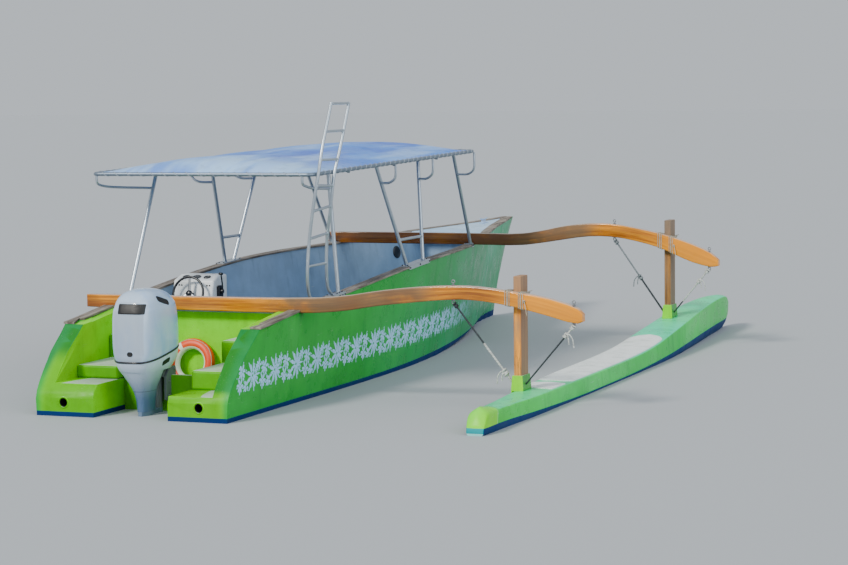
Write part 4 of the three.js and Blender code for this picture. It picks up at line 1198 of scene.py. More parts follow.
def make_console():
    slope = (TOP_HIGH - DASH_HIGH).normalized()
    face = Vector((-slope.z, 0, slope.x))
    bezels = Shape()
    dials = Shape()
    for y, radius in DIALS:
        middle = DASH_HIGH.lerp(TOP_HIGH, 0.5) + Y * y
        profile = [(radius, -0.003), (radius, 0.006), (radius * 0.94, 0.009), (radius * 0.86, 0.005)]
        bezels.turned(middle, face, profile, 32)
        glass = middle + face * 0.0054
        reaches = (0.0005, radius * 0.43, radius * 0.86)
        dials.rings([circle(glass, face, reach, 32) for reach in reaches], capped=False)
    bezels.placed("helm_bezels", "black", "console_gelcoat")
    dials.placed("helm_dials", "dial", "console_gelcoat")
    switches = Shape()
    profile = [(0.009, -0.002), (0.009, 0.003), (0.004, 0.005), (0.0035, 0.016), (0.002, 0.018)]
    for y in SWITCHES:
        switches.turned(DASH_LOW + DASH_UP * 0.255 + Y * y, DASH_OUT, profile, 12)
    switches.placed("helm_switches", "black", "console_gelcoat")
    box = Shape()
    box.slab((2.70, 0.395, 0.86), (2.80, 0.4295, 1.00), 0.010)
    lever = [(2.75, 0.385, 0.94), (2.735, 0.378, 1.00), (2.715, 0.375, 1.07), (2.70, 0.375, 1.12)]
    box.tube(smooth_path(lever, 12), 0.008, 12)
    box.turned((2.75, 0.396, 0.94), -Y, [(0.028, 0), (0.028, 0.016), (0.02, 0.022)], 20)
    box.turned((2.70, 0.40, 1.125), -Y, [(0.010, 0), (0.014, 0.006), (0.014, 0.040), (0.010, 0.046)], 16)
    box.placed("throttle_box", "black", "console_gelcoat")


def make_wheel():
    centre = WHEEL_PLACE + DASH_OUT * WHEEL_STAND
    shape = Shape()
    grips = [RIM_R * (0.93 + 0.07 * abs(math.cos(18 * angle))) for angle in angles(72)]
    shape.tube(circle(centre, DASH_OUT, WHEEL_R, 72), grips, 14, closed=True)
    for degrees in (90, 210, 330):
        angle = math.radians(degrees)
        way = DASH_UP * math.sin(angle) + Y * math.cos(angle)
        across = DASH_OUT.cross(way)
        rings = []
        for t in (0.1, 0.35, 0.7, 1.0):
            middle = centre + way * (WHEEL_R * t) - DASH_OUT * (0.022 * (1 - t))
            wide = 0.022 - 0.010 * t
            rings.append([
                middle + across * (wide * math.cos(a)) + DASH_OUT * (SPOKE_T * math.sin(a))
                for a in angles(12)])
        shape.rings(rings, 1)
    shape.turned(WHEEL_PLACE, DASH_OUT, [
        (0.024, 0.0005), (0.024, 0.035), (0.032, 0.05), (0.036, 0.066), (0.034, 0.082), (0.024, 0.09),
        (0.006, 0.094)], 28)
    placed(shape.made("steering_wheel", "black", "bolt"), "helm_wheel", "wheel_plastic", "helm_wheel")


make_console()
make_wheel()


# Canopy
ROOF_AFT = 1.530
ROOF_FORE = 6.080
ROOF_HALF = 1.187
ROOF_AFT_Z = 2.195
ROOF_FORE_Z = 2.290
CROWN_RISE = 0.132
CROWN_RAMP = 0.420
TUBE_R = 0.019
BOWS = (2.450, 3.670, 4.920)
CLOTH_INSET = 0.026
CLOTH_LIFT = 0.0024
CLOTH_T = 0.0016
HEM_R = 0.0052
SAG = 0.014
FRAME_BEND = 0.075
COLUMNS = 150
ROWS = 76
LACE_PITCH = 0.13
LACE_PULL = 0.012
LACE_R = 0.0026


def edge_z(x):
    share = (x - ROOF_AFT) / (ROOF_FORE - ROOF_AFT)
    return ROOF_AFT_Z + (ROOF_FORE_Z - ROOF_AFT_Z) * share


def crown_z(x, y):
    near = max(0.0, min(x - ROOF_AFT, ROOF_FORE - x))
    ramp = math.sin(math.pi / 2 * min(1.0, near / CROWN_RAMP))
    share = min(1.0, abs(y / ROOF_HALF))
    return edge_z(x) + CROWN_RISE * ramp * (1 - share ** 2.4)


def make_canopy_frame():
    shape = Shape()
    corners = [
        Vector((x, side * ROOF_HALF, edge_z(x)))
        for x, side in ((ROOF_AFT, 1), (ROOF_AFT, -1), (ROOF_FORE, -1), (ROOF_FORE, 1))]
    path = []
    for i, here in enumerate(corners):
        following = corners[(i + 1) % 4]
        path += rounded(corners[i - 1], here, following, FRAME_BEND, 0.5, 8)
        way = (following - here).normalized()
        run = (following - here).length
        steps = int(run / 0.25)
        path.extend(
            here + way * (FRAME_BEND + (run - 2 * FRAME_BEND) * k / steps) for k in range(1, steps))
    shape.tube(path, TUBE_R, 20, closed=True)
    for x in BOWS:
        across = [ROOF_HALF * k / 20 for k in range(-20, 21)]
        line = [Vector((x, y, crown_z(x, y) - TUBE_R - 0.0006)) for y in across]
        shape.tube(line, TUBE_R * 0.97, 18)
        for end, inner in ((line[40], line[39]), (line[0], line[1])):
            way = (inner - end).normalized()
            shape.weld(end + way * TUBE_R, way, TUBE_R)
    shape.placed("canopy_tubes", "frame", "tube_metal", "canopy_frame")


def cloth_sag(x, y):
    """How far the cover hangs between two bows."""
    stops = (ROOF_AFT, *BOWS, ROOF_FORE)
    one, two = next(pair for pair in zip(stops, stops[1:]) if pair[0] <= x <= pair[1])
    return SAG * math.sin(math.pi * (x - one) / (two - one)) ** 2 * (1 - (abs(y) / ROOF_HALF) ** 4)


def lace_pull(run):
    """How far the hem is drawn in between two laces."""
    return LACE_PULL * math.sin(math.pi * run / LACE_PITCH) ** 2


def cover_place(u, v):
    """A place on the cover, from its share of the length and from minus one to one across it."""
    aft, fore = ROOF_AFT + CLOTH_INSET, ROOF_FORE - CLOTH_INSET
    x = aft + (fore - aft) * u
    y = (ROOF_HALF - CLOTH_INSET) * v
    pull_y = lace_pull(x - ROOF_AFT) * max(0.0, abs(v) * 12 - 11) * (1 if v > 0 else -1)
    pull_x = lace_pull(y + ROOF_HALF) * max(0.0, abs(u * 2 - 1) * 24 - 23) * (1 if u > 0.5 else -1)
    sag = cloth_sag(x, y)
    ripple = 0.0022 * math.sin(x * 17 + math.sin(y * 5) * 2) * (1 - abs(v) ** 6)
    lift = CLOTH_LIFT + (max(0.0, ripple) if sag > 0.004 else 0.0)
    return Vector((x - pull_x, y - pull_y, crown_z(x, y) - sag + lift))


def make_cover():
    pitch = ROWS + 1
    points = [
        [cover_place(i / COLUMNS, j / ROWS * 2 - 1) for j in range(pitch)] for i in range(COLUMNS + 1)]
    shape = Shape()
    shape.add([p for column in points for p in column], [
        (i * pitch + j, (i + 1) * pitch + j, (i + 1) * pitch + j + 1, i * pitch + j + 1)
        for i in range(COLUMNS) for j in range(ROWS)])
    cover = shape.made("canopy_cover", "cover", sharp=80)
    thick = cover.modifiers.new("thickness", "SOLIDIFY")
    thick.thickness = CLOTH_T
    thick.offset = 0
    baked(cover)
    smooth(cover.data, 80)
    placed(cover, "root", "canopy_fabric", "canopy_cloth")
    border = [column[0] for column in points[:-1]] + points[-1][:-1]
    border += [column[-1] for column in points[:0:-1]] + points[0][:0:-1]
    hem = Shape()
    hem.tube(border, HEM_R, 8, closed=True)
    hem_piece = hem.placed("canopy_hem", "cover", "canopy_fabric", sharp=80)


def make_lacing():
    """One cord a side that winds round the edge tube and through the hem."""
    shape = Shape()
    aft_port, aft_star, fore_port, fore_star = (
        Vector((x, side * ROOF_HALF, edge_z(x))) for x in (ROOF_AFT, ROOF_FORE) for side in SIDES)
    for start, end, inward in (
        (aft_port, fore_port, -Y), (aft_star, fore_star, Y),
        (aft_star, aft_port, X), (fore_star, fore_port, -X),
    ):
        way = end - start
        turns = round(way.length / LACE_PITCH)
        path = []
        for k in range(turns * 14 + 1):
            angle = math.tau * k / 14
            reach = 0.0228 if math.cos(angle) > 0 else 0.0350
            path.append(
                start + way * (k / 14 / turns) - inward * (reach * math.cos(angle))
                + Z * (0.0228 * math.sin(angle) + 0.002))
        shape.tube(path[10:-10], LACE_R, 5)
    shape.placed("canopy_lacing", "lacing", "canopy_fabric", sharp=80)


LEG_TOP_Y = 0.950
LEG_R = 0.020
BRACKET_Z = 2.020
BRACKET_SWEEP = 0.110
BRACKET_R = 0.013
BRACKET_AFT_Y = {1: 1.150, -1: 1.080}
LEG_RUNG_R = 0.016
PLATE_T = 0.010
FORE_FOOT_X = 6.0
FORE_FOOT_OUT = 0.030
FLANGE_HIGH = 0.044
FLANGE_T = 0.0045
# Node, side, the foot's and the top's place of each leg, the plate's length, and the rung's height
LEGS = (
    ("canopy_leg_aft_port", 1, ((1.930, 2.450),), 0.120, 0),
    ("canopy_leg_aft_starboard", -1, ((2.445, 2.450),), 0.100, 0),
    ("canopy_frame_mid_port", 1, ((4.240, 3.670), (4.450, 4.920)), 0.430, 1.400),
    ("canopy_frame_mid_starboard", -1, ((4.240, 3.670), (4.745, 4.920)), 0.650, 1.400),
    ("canopy_leg_fore_port", 1, ((6.765, 6.040),), 0.090, 0),
    ("canopy_leg_fore_starboard", -1, ((6.765, 6.040),), 0.090, 0),
)
bolt_places = []


def base_plate(shape, side, start, end, inset):
    """A bolted plate on the cap, with a flange that turns down over the cap's outer face."""
    steps = max(2, int((end - start) / 0.1))
    plate = []
    flange = []
    for k in range(steps + 1):
        x = start + (end - start) * k / steps
        near, far = cap_span(x, side)
        z = CAPS.from_above(x, side * (near + far) / 2)
        ease = 0.004 if k in (0, steps) else 0.0
        y0, y1 = side * (near + inset + ease), side * (far - 0.010 - ease)
        low, high = z + 0.0005, z + PLATE_T
        plate.append([
            (x, y0, low), (x, y1, low), (x, y1, high - 0.002), (x, y1 - side * 0.002, high),
            (x, y0 + side * 0.002, high), (x, y0, high - 0.002)])
        y = side * (far + 0.0006)
        out = y + side * FLANGE_T
        top = CAPS.from_above(x, y - side * 0.03) + PLATE_T
        foot = top - FLANGE_HIGH
        flange.append([
            (x, y, foot), (x, out, foot + 0.002), (x, out, top - 0.002), (x, (y + out) / 2, top),
            (x, y, top)])
    shape.rings(plate)
    shape.rings(flange)
    last = 2 if end - start > 0.3 else 1
    for k in range(last + 1):
        x = start + 0.024 + (end - start - 0.048) * k / last
        y = side * (cap_span(x, side)[1] + FLANGE_T)
        z = CAPS.from_above(x, y - side * 0.03) + PLATE_T - FLANGE_HIGH * 0.5
        bolt_places.append(upright((x, y, z), Y * side))
    for x in (start + 0.022, end - 0.022):
        near, far = cap_span(x, side)
        for y in (near + inset + 0.018, far - 0.028):
            bolt_places.append(upright((x, side * y, CAPS.from_above(x, side * y) + PLATE_T)))


def at_height(low, high, z):
    return low.lerp(high, (z - low.z) / (high.z - low.z))


def bracket_route(start, side):
    """Points of the arm that holds the canopy's edge tube away from a leg."""
    if start.x < 2.6:
        x, y = ROOF_AFT, side * BRACKET_AFT_Y[side]
        bends = [(x + 0.130, y, BRACKET_Z + 0.052), (x + 0.012, y, BRACKET_Z + 0.090)]
    else:
        x, y = start.x - BRACKET_SWEEP, side * ROOF_HALF
        bends = [
            (x + 0.016, side * (ROOF_HALF - 0.070), BRACKET_Z + 0.012),
            (x, side * (ROOF_HALF - 0.008), BRACKET_Z + 0.060)]
    return [start, *bends, (x, y, edge_z(x) - TUBE_R + 0.004)]


def make_legs():
    for name, side, feet, plate, rung_z in LEGS:
        shape = Shape()
        ends = []
        for foot, top in feet:
            out = FORE_FOOT_OUT if foot > FORE_FOOT_X else 0.0
            low = cap_point(foot, side) + Vector((0, side * out, PLATE_T / 2))
            high = Vector((top, side * LEG_TOP_Y, crown_z(top, LEG_TOP_Y) - TUBE_R * 2 + 0.006))
            way = (high - low).normalized()
            shape.tube(between(low, high, 8), LEG_R, 20)
            shape.weld(low + way * (PLATE_T / 2 + 0.002), way, LEG_R + 0.001)
            shape.weld(high - way * 0.006, way, LEG_R)
            ends.append((low, high))
        if rung_z:
            shape.rung(*(at_height(*end, rung_z) for end in ends), LEG_RUNG_R, 16, 2, LEG_R)
        for end in ends:
            line = smooth_path(bracket_route(at_height(*end, BRACKET_Z), side), 30)
            shape.tube(line, BRACKET_R)
            way = (line[1] - line[0]).normalized()
            shape.weld(line[0] + way * LEG_R, way, BRACKET_R)
        middle = sum(foot for foot, top in feet) / len(feet)
        base_plate(shape, side, middle - plate / 2, middle + plate / 2, 0.010)
        shape.placed(f"{name}_tubes", "tube", "tube_metal", name)


# Each stile's foot on the cap, and the points above it
STILES = (
    ((1.850, -1.030), (1.690, -1.062, 1.040), (1.610, -1.085, 1.200), (1.600, -1.115, 1.560),
     (1.560, -1.200, 2.000), (1.575, -1.232, 2.200), (1.630, -1.248, 2.430), (1.860, -1.250, 2.870)),
    ((2.300, -1.040), (2.150, -1.062, 1.060), (2.075, -1.085, 1.200), (2.030, -1.115, 1.560),
     (1.940, -1.195, 1.850), (1.955, -1.232, 2.180), (2.070, -1.248, 2.430), (2.300, -1.250, 2.870)),
)
RUNGS = (1.320, 1.590, 1.860, 2.090, 2.330, 2.600, 2.850)
LADDER_R = 0.016
RUNG_R = 0.013


def make_ladder():
    shape = Shape()
    lines = []
    for route in STILES:
        x, y = route[0]
        foot = Vector((x, y, CAPS.from_above(x, y) + PLATE_T / 2))
        line = smooth_path([foot, *route[1:]], 60)
        way = line[1] - line[0]
        shape.tube(line, LADDER_R, 16)
        cap = [(LADDER_R, -0.002), (LADDER_R * 1.02, 0.003), (0.008, 0.008)]
        shape.turned(line[-1], line[-1] - line[-2], cap, 16)
        shape.weld(line[0] + way.normalized() * 0.008, way, LADDER_R + 0.001)
        base_plate(shape, -1, x - 0.080, x + 0.080, 0.020)
        lines.append(line)
    for z in RUNGS:
        shape.rung(*(min(line, key=lambda p: abs(p.z - z)) for line in lines), RUNG_R, 14, 3, LADDER_R)
    shape.placed("ladder_tubes", "tube", "tube_metal", "boarding_ladder")


make_canopy_frame()
make_cover()
make_lacing()
make_legs()
make_ladder()
copies("plate_bolts", bolt_shape(0.011), bolt_places, "black", "tube_metal", 30)


# Life ring
RING_TILT = 0.21
RING_R = 0.190
RING_BODY_R = 0.055
RING_SIDES = 24
RING_FIRST_KNOT = math.radians(52)


def make_life_ring():
    low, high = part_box("life_ring")
    centre = (low + high) / 2
    axis = Vector((math.cos(RING_TILT), 0, -math.sin(RING_TILT)))
    up = Vector((math.sin(RING_TILT), 0, math.cos(RING_TILT)))

    def outward(angle):
        return Y * math.cos(angle) + up * math.sin(angle)

    def section(angle, lift=0.0):
        out = outward(angle)
        wide, thick = RING_BODY_R + lift, RING_BODY_R * 0.94 + lift
        return [
            centre + out * (RING_R + wide * math.cos(a)) + axis * (thick * math.sin(a))
            for a in angles(RING_SIDES)]
    body = Shape()
    body.rings([section(angle) for angle in angles(96)], closed=True)
    body.paints = [1 if 8 <= i % RING_SIDES < 16 else 0 for i in range(len(body.faces))]
    placed(body.made("life_ring_body", "ring", "band", sharp=60), "root", "ring_shell", "life_ring")
    bands = Shape()
    line = Shape()
    knots = [angle + RING_FIRST_KNOT for angle in angles(4)]
    for middle in knots[::2]:
        rings = [section(middle + k * 0.028, 0.0012 if abs(k) == 4 else 0.0024) for k in range(-4, 5)]
        bands.rings(rings, capped=False)
    for one, two in zip(knots, knots[1:] + [knots[0] + math.tau]):
        path = []
        for t in [k / 12 for k in range(13)]:
            reach = RING_R + RING_BODY_R * 0.80 - 0.006 * math.sin(math.pi * t)
            out = outward(one + (two - one) * t)
            path.append(centre + out * reach - axis * (RING_BODY_R * 0.62 + 0.002))
        line.tube(path, 0.0045, 9, lobes=3, pitch=0.02)
    bands.placed("life_ring_bands", "band", "ring_shell", sharp=60)
    line.placed("life_ring_line", "cord", "ring_shell", sharp=80)


make_life_ring()


# Float sections: x, centre, deck's edge, its height, middle's height, chine, its height, keel's height
AMA = (
    (-0.030, -3.377, 0.080, 0.040, 0.052, 0.078, 0.010, -0.056),
    (0.000, -3.376, 0.086, 0.102, 0.136, 0.084, 0.006, -0.064),
    (0.050, -3.375, 0.092, 0.158, 0.212, 0.088, 0.002, -0.072),
    (0.110, -3.374, 0.096, 0.178, 0.238, 0.092, 0.000, -0.080),
    (0.330, -3.362, 0.100, 0.184, 0.208, 0.108, -0.010, -0.110),
    (0.700, -3.354, 0.108, 0.184, 0.192, 0.130, -0.015, -0.130),
    (1.300, -3.352, 0.150, 0.182, 0.188, 0.158, -0.015, -0.150),
    (2.100, -3.326, 0.184, 0.178, 0.184, 0.196, -0.015, -0.168),
    (2.900, -3.310, 0.206, 0.176, 0.182, 0.222, -0.015, -0.175),
    (4.500, -3.308, 0.215, 0.180, 0.187, 0.234, -0.010, -0.185),
    (5.300, -3.308, 0.217, 0.205, 0.213, 0.236, -0.005, -0.183),
    (6.000, -3.306, 0.214, 0.262, 0.271, 0.232, 0.005, -0.175),
    (6.700, -3.302, 0.202, 0.320, 0.330, 0.208, 0.020, -0.162),
    (7.600, -3.290, 0.180, 0.385, 0.396, 0.172, 0.045, -0.140),
    (8.500, -3.280, 0.142, 0.420, 0.434, 0.128, 0.085, -0.095),
    (9.200, -3.274, 0.098, 0.402, 0.420, 0.084, 0.110, -0.030),
    (9.560, -3.270, 0.040, 0.310, 0.330, 0.034, 0.150, 0.060),
)
PAD_THICK = 0.009
PAD_MARGIN = 0.022
PAD_SOFT = 0.004
PAD_COUNT = 90


def ama_outline(x):
    """A section of the float with its edges rounded, from the deck's middle round the keel and back."""
    centre, edge, edge_z, middle_z, chine, chine_z, keel = row_at(AMA, x)[1:]
    corners = [Vector((u, 0, v)) for u, v in ((0, middle_z), (edge, edge_z), (chine, chine_z), (0, keel))]
    half = [(0, middle_z), (edge * 0.5, middle_z * 0.5 + edge_z * 0.5 + 0.002)]
    for k, reach in ((1, 0.030), (2, 0.045)):
        half += [(p.x, p.z) for p in rounded(*corners[k - 1:k + 2], reach, 0.4, 5)]
    half += [(chine * 0.35, keel * 0.72 + chine_z * 0.28), (0.006, keel + 0.001)]
    return [(x, centre + u, v) for u, v in half] + [(x, centre - u, v) for u, v in reversed(half[1:])]


def shrunk(ring, share, x):
    """A ring drawn in towards its middle, at another place along the float."""
    middle = sum((Vector(p) for p in ring), Vector()) / len(ring)
    return [(x, middle.y + (p[1] - middle.y) * share, middle.z + (p[2] - middle.z) * share) for p in ring]


def make_float():
    start, end = AMA[0][0], AMA[-1][0]
    stations = [start + 0.006 + 0.012 * k for k in range(14)]
    stations += [0.15 + (end - 0.18) * (k / 150) for k in range(151)]
    rings = [ama_outline(x) for x in stations]
    stern = [shrunk(rings[0], share, start + on) for share, on in ((0.90, 0), (0.97, 0.003))]
    nose = ((0.94, 0.022), (0.80, 0.010), (0.5, 0.003), (0.15, 0))
    bow = [shrunk(rings[-1], share, end - back) for share, back in nose]
    shape = Shape()
    shape.rings(stern + rings + bow)
    shape.placed("float_skin", "float", "float_paint", "ama_hull", sharp=60)


def make_pad(name, start, end, round_end):
    rings = []
    for k in range(PAD_COUNT + 1):
        x = start + (end - start) * (1 - (1 - k / PAD_COUNT) ** 1.6)
        centre, edge, edge_z, middle_z = row_at(AMA, x)[1:5]
        fore = max(0.0, (x - (end - round_end)) / round_end)
        aft = max(0.0, (start + 0.02 - x) / 0.02)
        half = (edge - PAD_MARGIN) * math.sqrt(max(0.02, 1 - max(fore, aft * 0.8) ** 2))
        side = [(half, -0.004), (half, PAD_THICK - PAD_SOFT), (half - PAD_SOFT, PAD_THICK)]
        row = [(-y, lift) for y, lift in side]
        row += [(half * share, PAD_THICK + 0.0008) for share in (-0.66, -0.33, 0.0, 0.33, 0.66)]
        row += [*side[::-1], (0.0, -0.004)]
        rings.append([
            (x, centre + y, middle_z + (edge_z - middle_z) * abs(y) / edge + lift) for y, lift in row])
    shape = Shape()
    shape.rings(rings)
    shape.placed(f"{name}_foam", "pad", "pad_foam", name, sharp=50)


make_float()
make_pad("ama_pad_aft", 1.790, 2.240, 0.020)
make_pad("ama_pad_main", 2.390, 5.880, 0.230)


# Crossbeams, lashings and stays
POST_Y = -3.232
POST_WIDE = 0.076
BEAM_WIDE = 0.095
BEAM_COUNT = 110
CORD_R = 0.0036
CORD_PITCH = 0.0135
STAY_LAY = 0.06
EYE_Y = {"aft": {"inner": -2.618, "outer": -3.800}, "fore": {"inner": -2.618, "outer": -3.735}}
# Radius above and below the joint, the two finishes, and the joint's and the knot's share of the way down
STAYS = {
    ("aft", "inner"): (0.0090, 0.0115, "dark_rope", "rope", 0.50, 0.86),
    ("fore", "inner"): (0.0100, 0.0115, "grey_rope", "dark_rope", 0.48, 0.52),
    ("aft", "outer"): (0.0100, 0.0085, "rope", "dark_rope", 0.16, 0.15),
    ("fore", "outer"): (0.0105, 0.0085, "rope", "dark_rope", 0.74, 0.27),
}


def beam_section(x, y, top, bottom, width):
    """A level cut of a crossbeam with eased corners, and the share of its depth at each point."""
    half, soft = width / 2, min(0.013, (top - bottom) * 0.3)
    ring = []
    for sx, sz, c, s in rounded_rectangle(3):
        edge = top if sz > 0 else bottom
        ring.append((x + sx * (half - soft + soft * c), y, edge - sz * (soft - soft * s)))
    return ring, [min(0.999, max(0.001, (z - bottom) / (top - bottom))) for x, y, z in ring]


def make_beam(end, probe):
    low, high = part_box(f"beam_{end}")
    x = (low.x + high.x) / 2
    rings = []
    layers = []
    for k in range(BEAM_COUNT + 1):
        y = low.y + 0.004 + (high.y - low.y - 0.008) * k / BEAM_COUNT
        if min(abs(y - eye) for eye in EYE_Y[end].values()) < 0.015:
            continue
        top, bottom = probe.from_above(x, y), probe.from_below(x, y)
        if top is None or bottom is None or top - bottom < 0.012:
            continue
        narrower = {0: 0.012, 1: 0.004}.get(min(k, BEAM_COUNT - k), 0)
        ring, layer = beam_section(x, y, top, bottom, BEAM_WIDE - narrower)
        rings.append(ring)
        layers += layer
    shape = Shape()
    shape.rings(rings, layers=layers)
    shape.placed(f"beam_{end}_timber", "beam", "varnished_wood", f"beam_{end}", sharp=50)


def make_lashing(end, probe):
    """Turns of cord that bind a crossbeam to its post, crossing behind the post."""
    beam_low, beam_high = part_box(f"beam_{end}")
    shape = Shape()
    aft, fore = beam_low.x - CORD_R, beam_high.x + CORD_R
    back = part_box(f"post_{end}")[1].x + CORD_R
    for k in range(4):
        half = POST_WIDE / 2 + 0.007 + CORD_PITCH * k + 0.003 * math.sin(k * 2.3)
        lift = (k - 1.5) * 0.014
        port, star = POST_Y + half, POST_Y - half
        top = {y: probe.from_above(beam_low.x + 0.02, y) + CORD_R for y in (port, star)}
        low = {y: probe.from_below(beam_low.x + 0.02, y) - CORD_R for y in (port, star)}
        middle = (top[port] + low[port]) / 2
        under, over = middle - 0.030 + lift, middle + 0.030 + lift
        loop = rounded_loop([
            (aft, port, top[port]), (aft, port, low[port]), (fore, port, low[port]),
            (back, port - 0.006, under), (back, star + 0.006, over), (fore, star, top[star]),
            (aft, star, top[star]), (aft, star, low[star]), (fore, star, low[star]),
            (back + 0.003, star + 0.006, under), (back + 0.003, port - 0.006, over),
            (fore, port, top[port]),
        ], 0.010, 3)
        shape.tube(loop, CORD_R, 7, closed=True)
    for k in range(4):
        z = (top[port] + low[port]) / 2 + (k - 1.5) * 0.0085
        hold = rounded_loop([
            (fore + 0.004 + on, POST_Y + y, z) for on, y in
            ((0.006, 0.062), (0.022, 0.062), (0.022, 0.050), (0.006, 0.050))], 0.005, 2)
        shape.tube(hold, CORD_R * 0.8, 6, closed=True)
    knot = Vector((aft - 0.006, POST_Y - 0.10, (top[star] + low[star]) / 2))
    for turn in ((1, 0.2, 0.3), (0.3, 1, 0.2)):
        shape.tube(circle(knot, Vector(turn), 0.012, 14), CORD_R, 7, closed=True)
    falls = ((0, 0, 0), (-0.012, -0.012, -0.02), (-0.014, -0.022, -0.07), (-0.006, -0.03, -0.13))
    shape.tube(smooth_path([knot + Vector(fall) for fall in falls], 14), CORD_R, 7)
    shape.placed(f"lashing_{end}_cord", "cord", "lashing_cord", f"lashing_{end}", sharp=80)


def hitch(shape, place, way, radius):
    """Three turns of a knot around a line."""
    way = way.normalized()
    tilt = way.orthogonal().normalized() * 0.25
    for k in (-1, 0, 1):
        ring = circle(place + way * (k * radius * 1.9), way + tilt * (1 if k else -1), radius * 1.75, 16)
        shape.tube(ring, radius * 0.85, 7, closed=True)


def make_eyebolt(name, x, y, top, under):
    bolt = Shape()
    bolt.turned((x, y, under - 0.012), Z, [(0.0075, 0), (0.0075, top - under + 0.028)], 14)
    for z, way in ((top, 1), (under, -1)):
        bolt.turned((x, y, z), Z * way, [(0.019, 0.0004), (0.019, 0.003), (0.017, 0.0036)], 24)
        bolt.turned((x, y, z + way * 0.003), Z * way, [(0.0135, 0), (0.0135, 0.009), (0.011, 0.0105)], 6)
    for z in (under - 0.026, top + 0.037):
        bolt.tube(circle((x, y, z), X, 0.0145, 28), 0.0048, 10, closed=True)
    bolt.placed(name, "bolt", "stay_rope")


def make_stays(end, probe):
    """A rope from each eyebolt to the post's foot, in an upper and a lower length, with a knot's tails."""
    x = sum(corner.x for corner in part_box(f"beam_{end}")) / 2
    post_x = sum(corner.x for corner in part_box(f"post_{end}")) / 2
    deck_z = Probe("ama_hull").from_above(post_x, POST_Y)
    for place, y in EYE_Y[end].items():
        top, under = probe.from_above(x + 0.02, y), probe.from_below(x + 0.02, y)
        make_eyebolt(f"eyebolt_{end}_{place}", x, y, top, under)
        eye = Vector((x, y, under - 0.026))
        away = 1 if y > POST_Y else -1
        foot = Vector((post_x - 0.040, POST_Y + away * 0.060, deck_z + 0.062))
        start = eye + (foot - eye).normalized() * 0.012
        upper_r, lower_r, upper_finish, lower_finish, share, knot = STAYS[end, place]
        joint = start.lerp(foot, share)
        upper = Shape()
        upper.tube(between(start, joint, 40), upper_r, 9, lobes=3, pitch=STAY_LAY)
        hitch(upper, start.lerp(joint, 0.05), foot - eye, upper_r)
        lower = Shape()
        lower.tube(between(joint, foot, 60), lower_r, 12, lobes=3, pitch=STAY_LAY)
        pale, thick = (lower, lower_r) if lower_finish == "rope" else (upper, upper_r)
        tied = start.lerp(foot, knot)
        hitch(pale, tied, foot - eye, thick)
        hang = Y * (away * 0.03)
        for spread in (1.0, 0.4):
            tail = smooth_path([
                tied, tied + hang * spread + Vector((-0.01, 0, 0.012)),
                tied + hang * (2.2 * spread) + Vector((-0.02, 0, -0.03)),
                tied + hang * (2.6 * spread) + Vector((-0.015, 0, -0.06 - 0.05 * spread))], 16)
            pale.tube(tail, thick * 0.62, 9, lobes=3, pitch=0.03)
        name = f"stay_{end}_{place}"
        upper.placed(f"{name}_top", upper_finish, "stay_rope", sharp=80)
        lower.placed(f"{name}_line", lower_finish, "stay_rope", name, sharp=80)


for end in ENDS:
    beam_probe = Probe(f"beam_{end}")
    make_beam(end, beam_probe)
    make_lashing(end, beam_probe)
    make_stays(end, beam_probe)


# Engine: level sections of the covers, as height, aft end, fore end and half-width
COVER_ROWS = (
    (0.430, 0.034, 0.590, 0.182), (0.470, 0.008, 0.630, 0.200), (0.531, -0.018, 0.698, 0.214),
    (0.620, -0.034, 0.704, 0.228), (0.800, -0.038, 0.702, 0.232), (0.960, -0.028, 0.686, 0.226),
    (1.060, 0.004, 0.650, 0.210), (1.125, 0.062, 0.575, 0.178), (1.165, 0.140, 0.480, 0.128),
    (1.184, 0.230, 0.400, 0.066),
)
# The shroud's sections below them: height, aft end, half-width and power
SHROUD_ROWS = (
    (0.040, 0.188, 0.058, 2.4), (0.095, 0.184, 0.061, 2.4), (0.150, 0.180, 0.066, 2.5),
    (0.205, 0.162, 0.077, 2.5), (0.260, 0.140, 0.092, 2.6), (0.305, 0.116, 0.113, 2.7),
    (0.350, 0.092, 0.138, 2.8), (0.395, 0.066, 0.160, 3.0), (0.434, 0.040, 0.178, 3.2),
)
SHROUD_FORE = 0.448
COVER_POWER = 3.2
COVER_LOW = 0.4305
COVER_TOP = 1.184
SEAM_LOW = 0.522
SEAM_SLOPE = 0.165
SHOULDER_Z = 1.035
COVER_SIDES = 128
COVER_STEPS = 44


def level_point(angle, z, aft, fore, half, power):
    """A point of a level section: an ellipse squared off by its power."""
    c, s = math.cos(angle), math.sin(angle)
    reach = (abs(c) ** power + abs(s) ** power) ** (-1 / power)
    return Vector(((aft + fore) / 2 + (fore - aft) / 2 * c * reach, half * s * reach, z))


def cover_point(angle, z, grow=0.0):
    aft, fore, half = row_at(COVER_ROWS, z)[1:]
    return level_point(angle, z, aft - grow, fore + grow, half + grow, COVER_POWER)


def reach_at(share):
    """How far a cover's section reaches, at a share of its width."""
    return (1 - min(0.999, abs(share)) ** COVER_POWER) ** (1 / COVER_POWER)


def panel(u, z):
    """Depth of the shallow panel let into the covers' aft face."""
    edge = clamped((0.150 - abs(u - 0.004)) / 0.012)
    return 0.006 * edge * clamped((1.075 - z) / 0.02) * clamped((z - 0.57) / 0.03)


def aft_face(u, z):
    """The covers' aft face, for a place across the boat and a height."""
    aft, fore, half = row_at(COVER_ROWS, z)[1:]
    return Vector(((aft + fore) / 2 - (fore - aft) / 2 * reach_at(u / half) + panel(u, z), -u, z))


def side_face(side):
    """A side of the covers; its first coordinate runs so that a panel on it faces outwards."""
    def face(u, z):
        aft, fore, half = row_at(COVER_ROWS, z)[1:]
        x = -side * u
        return Vector((x, side * half * reach_at((x - (aft + fore) / 2) / ((fore - aft) / 2)), z))
    return face


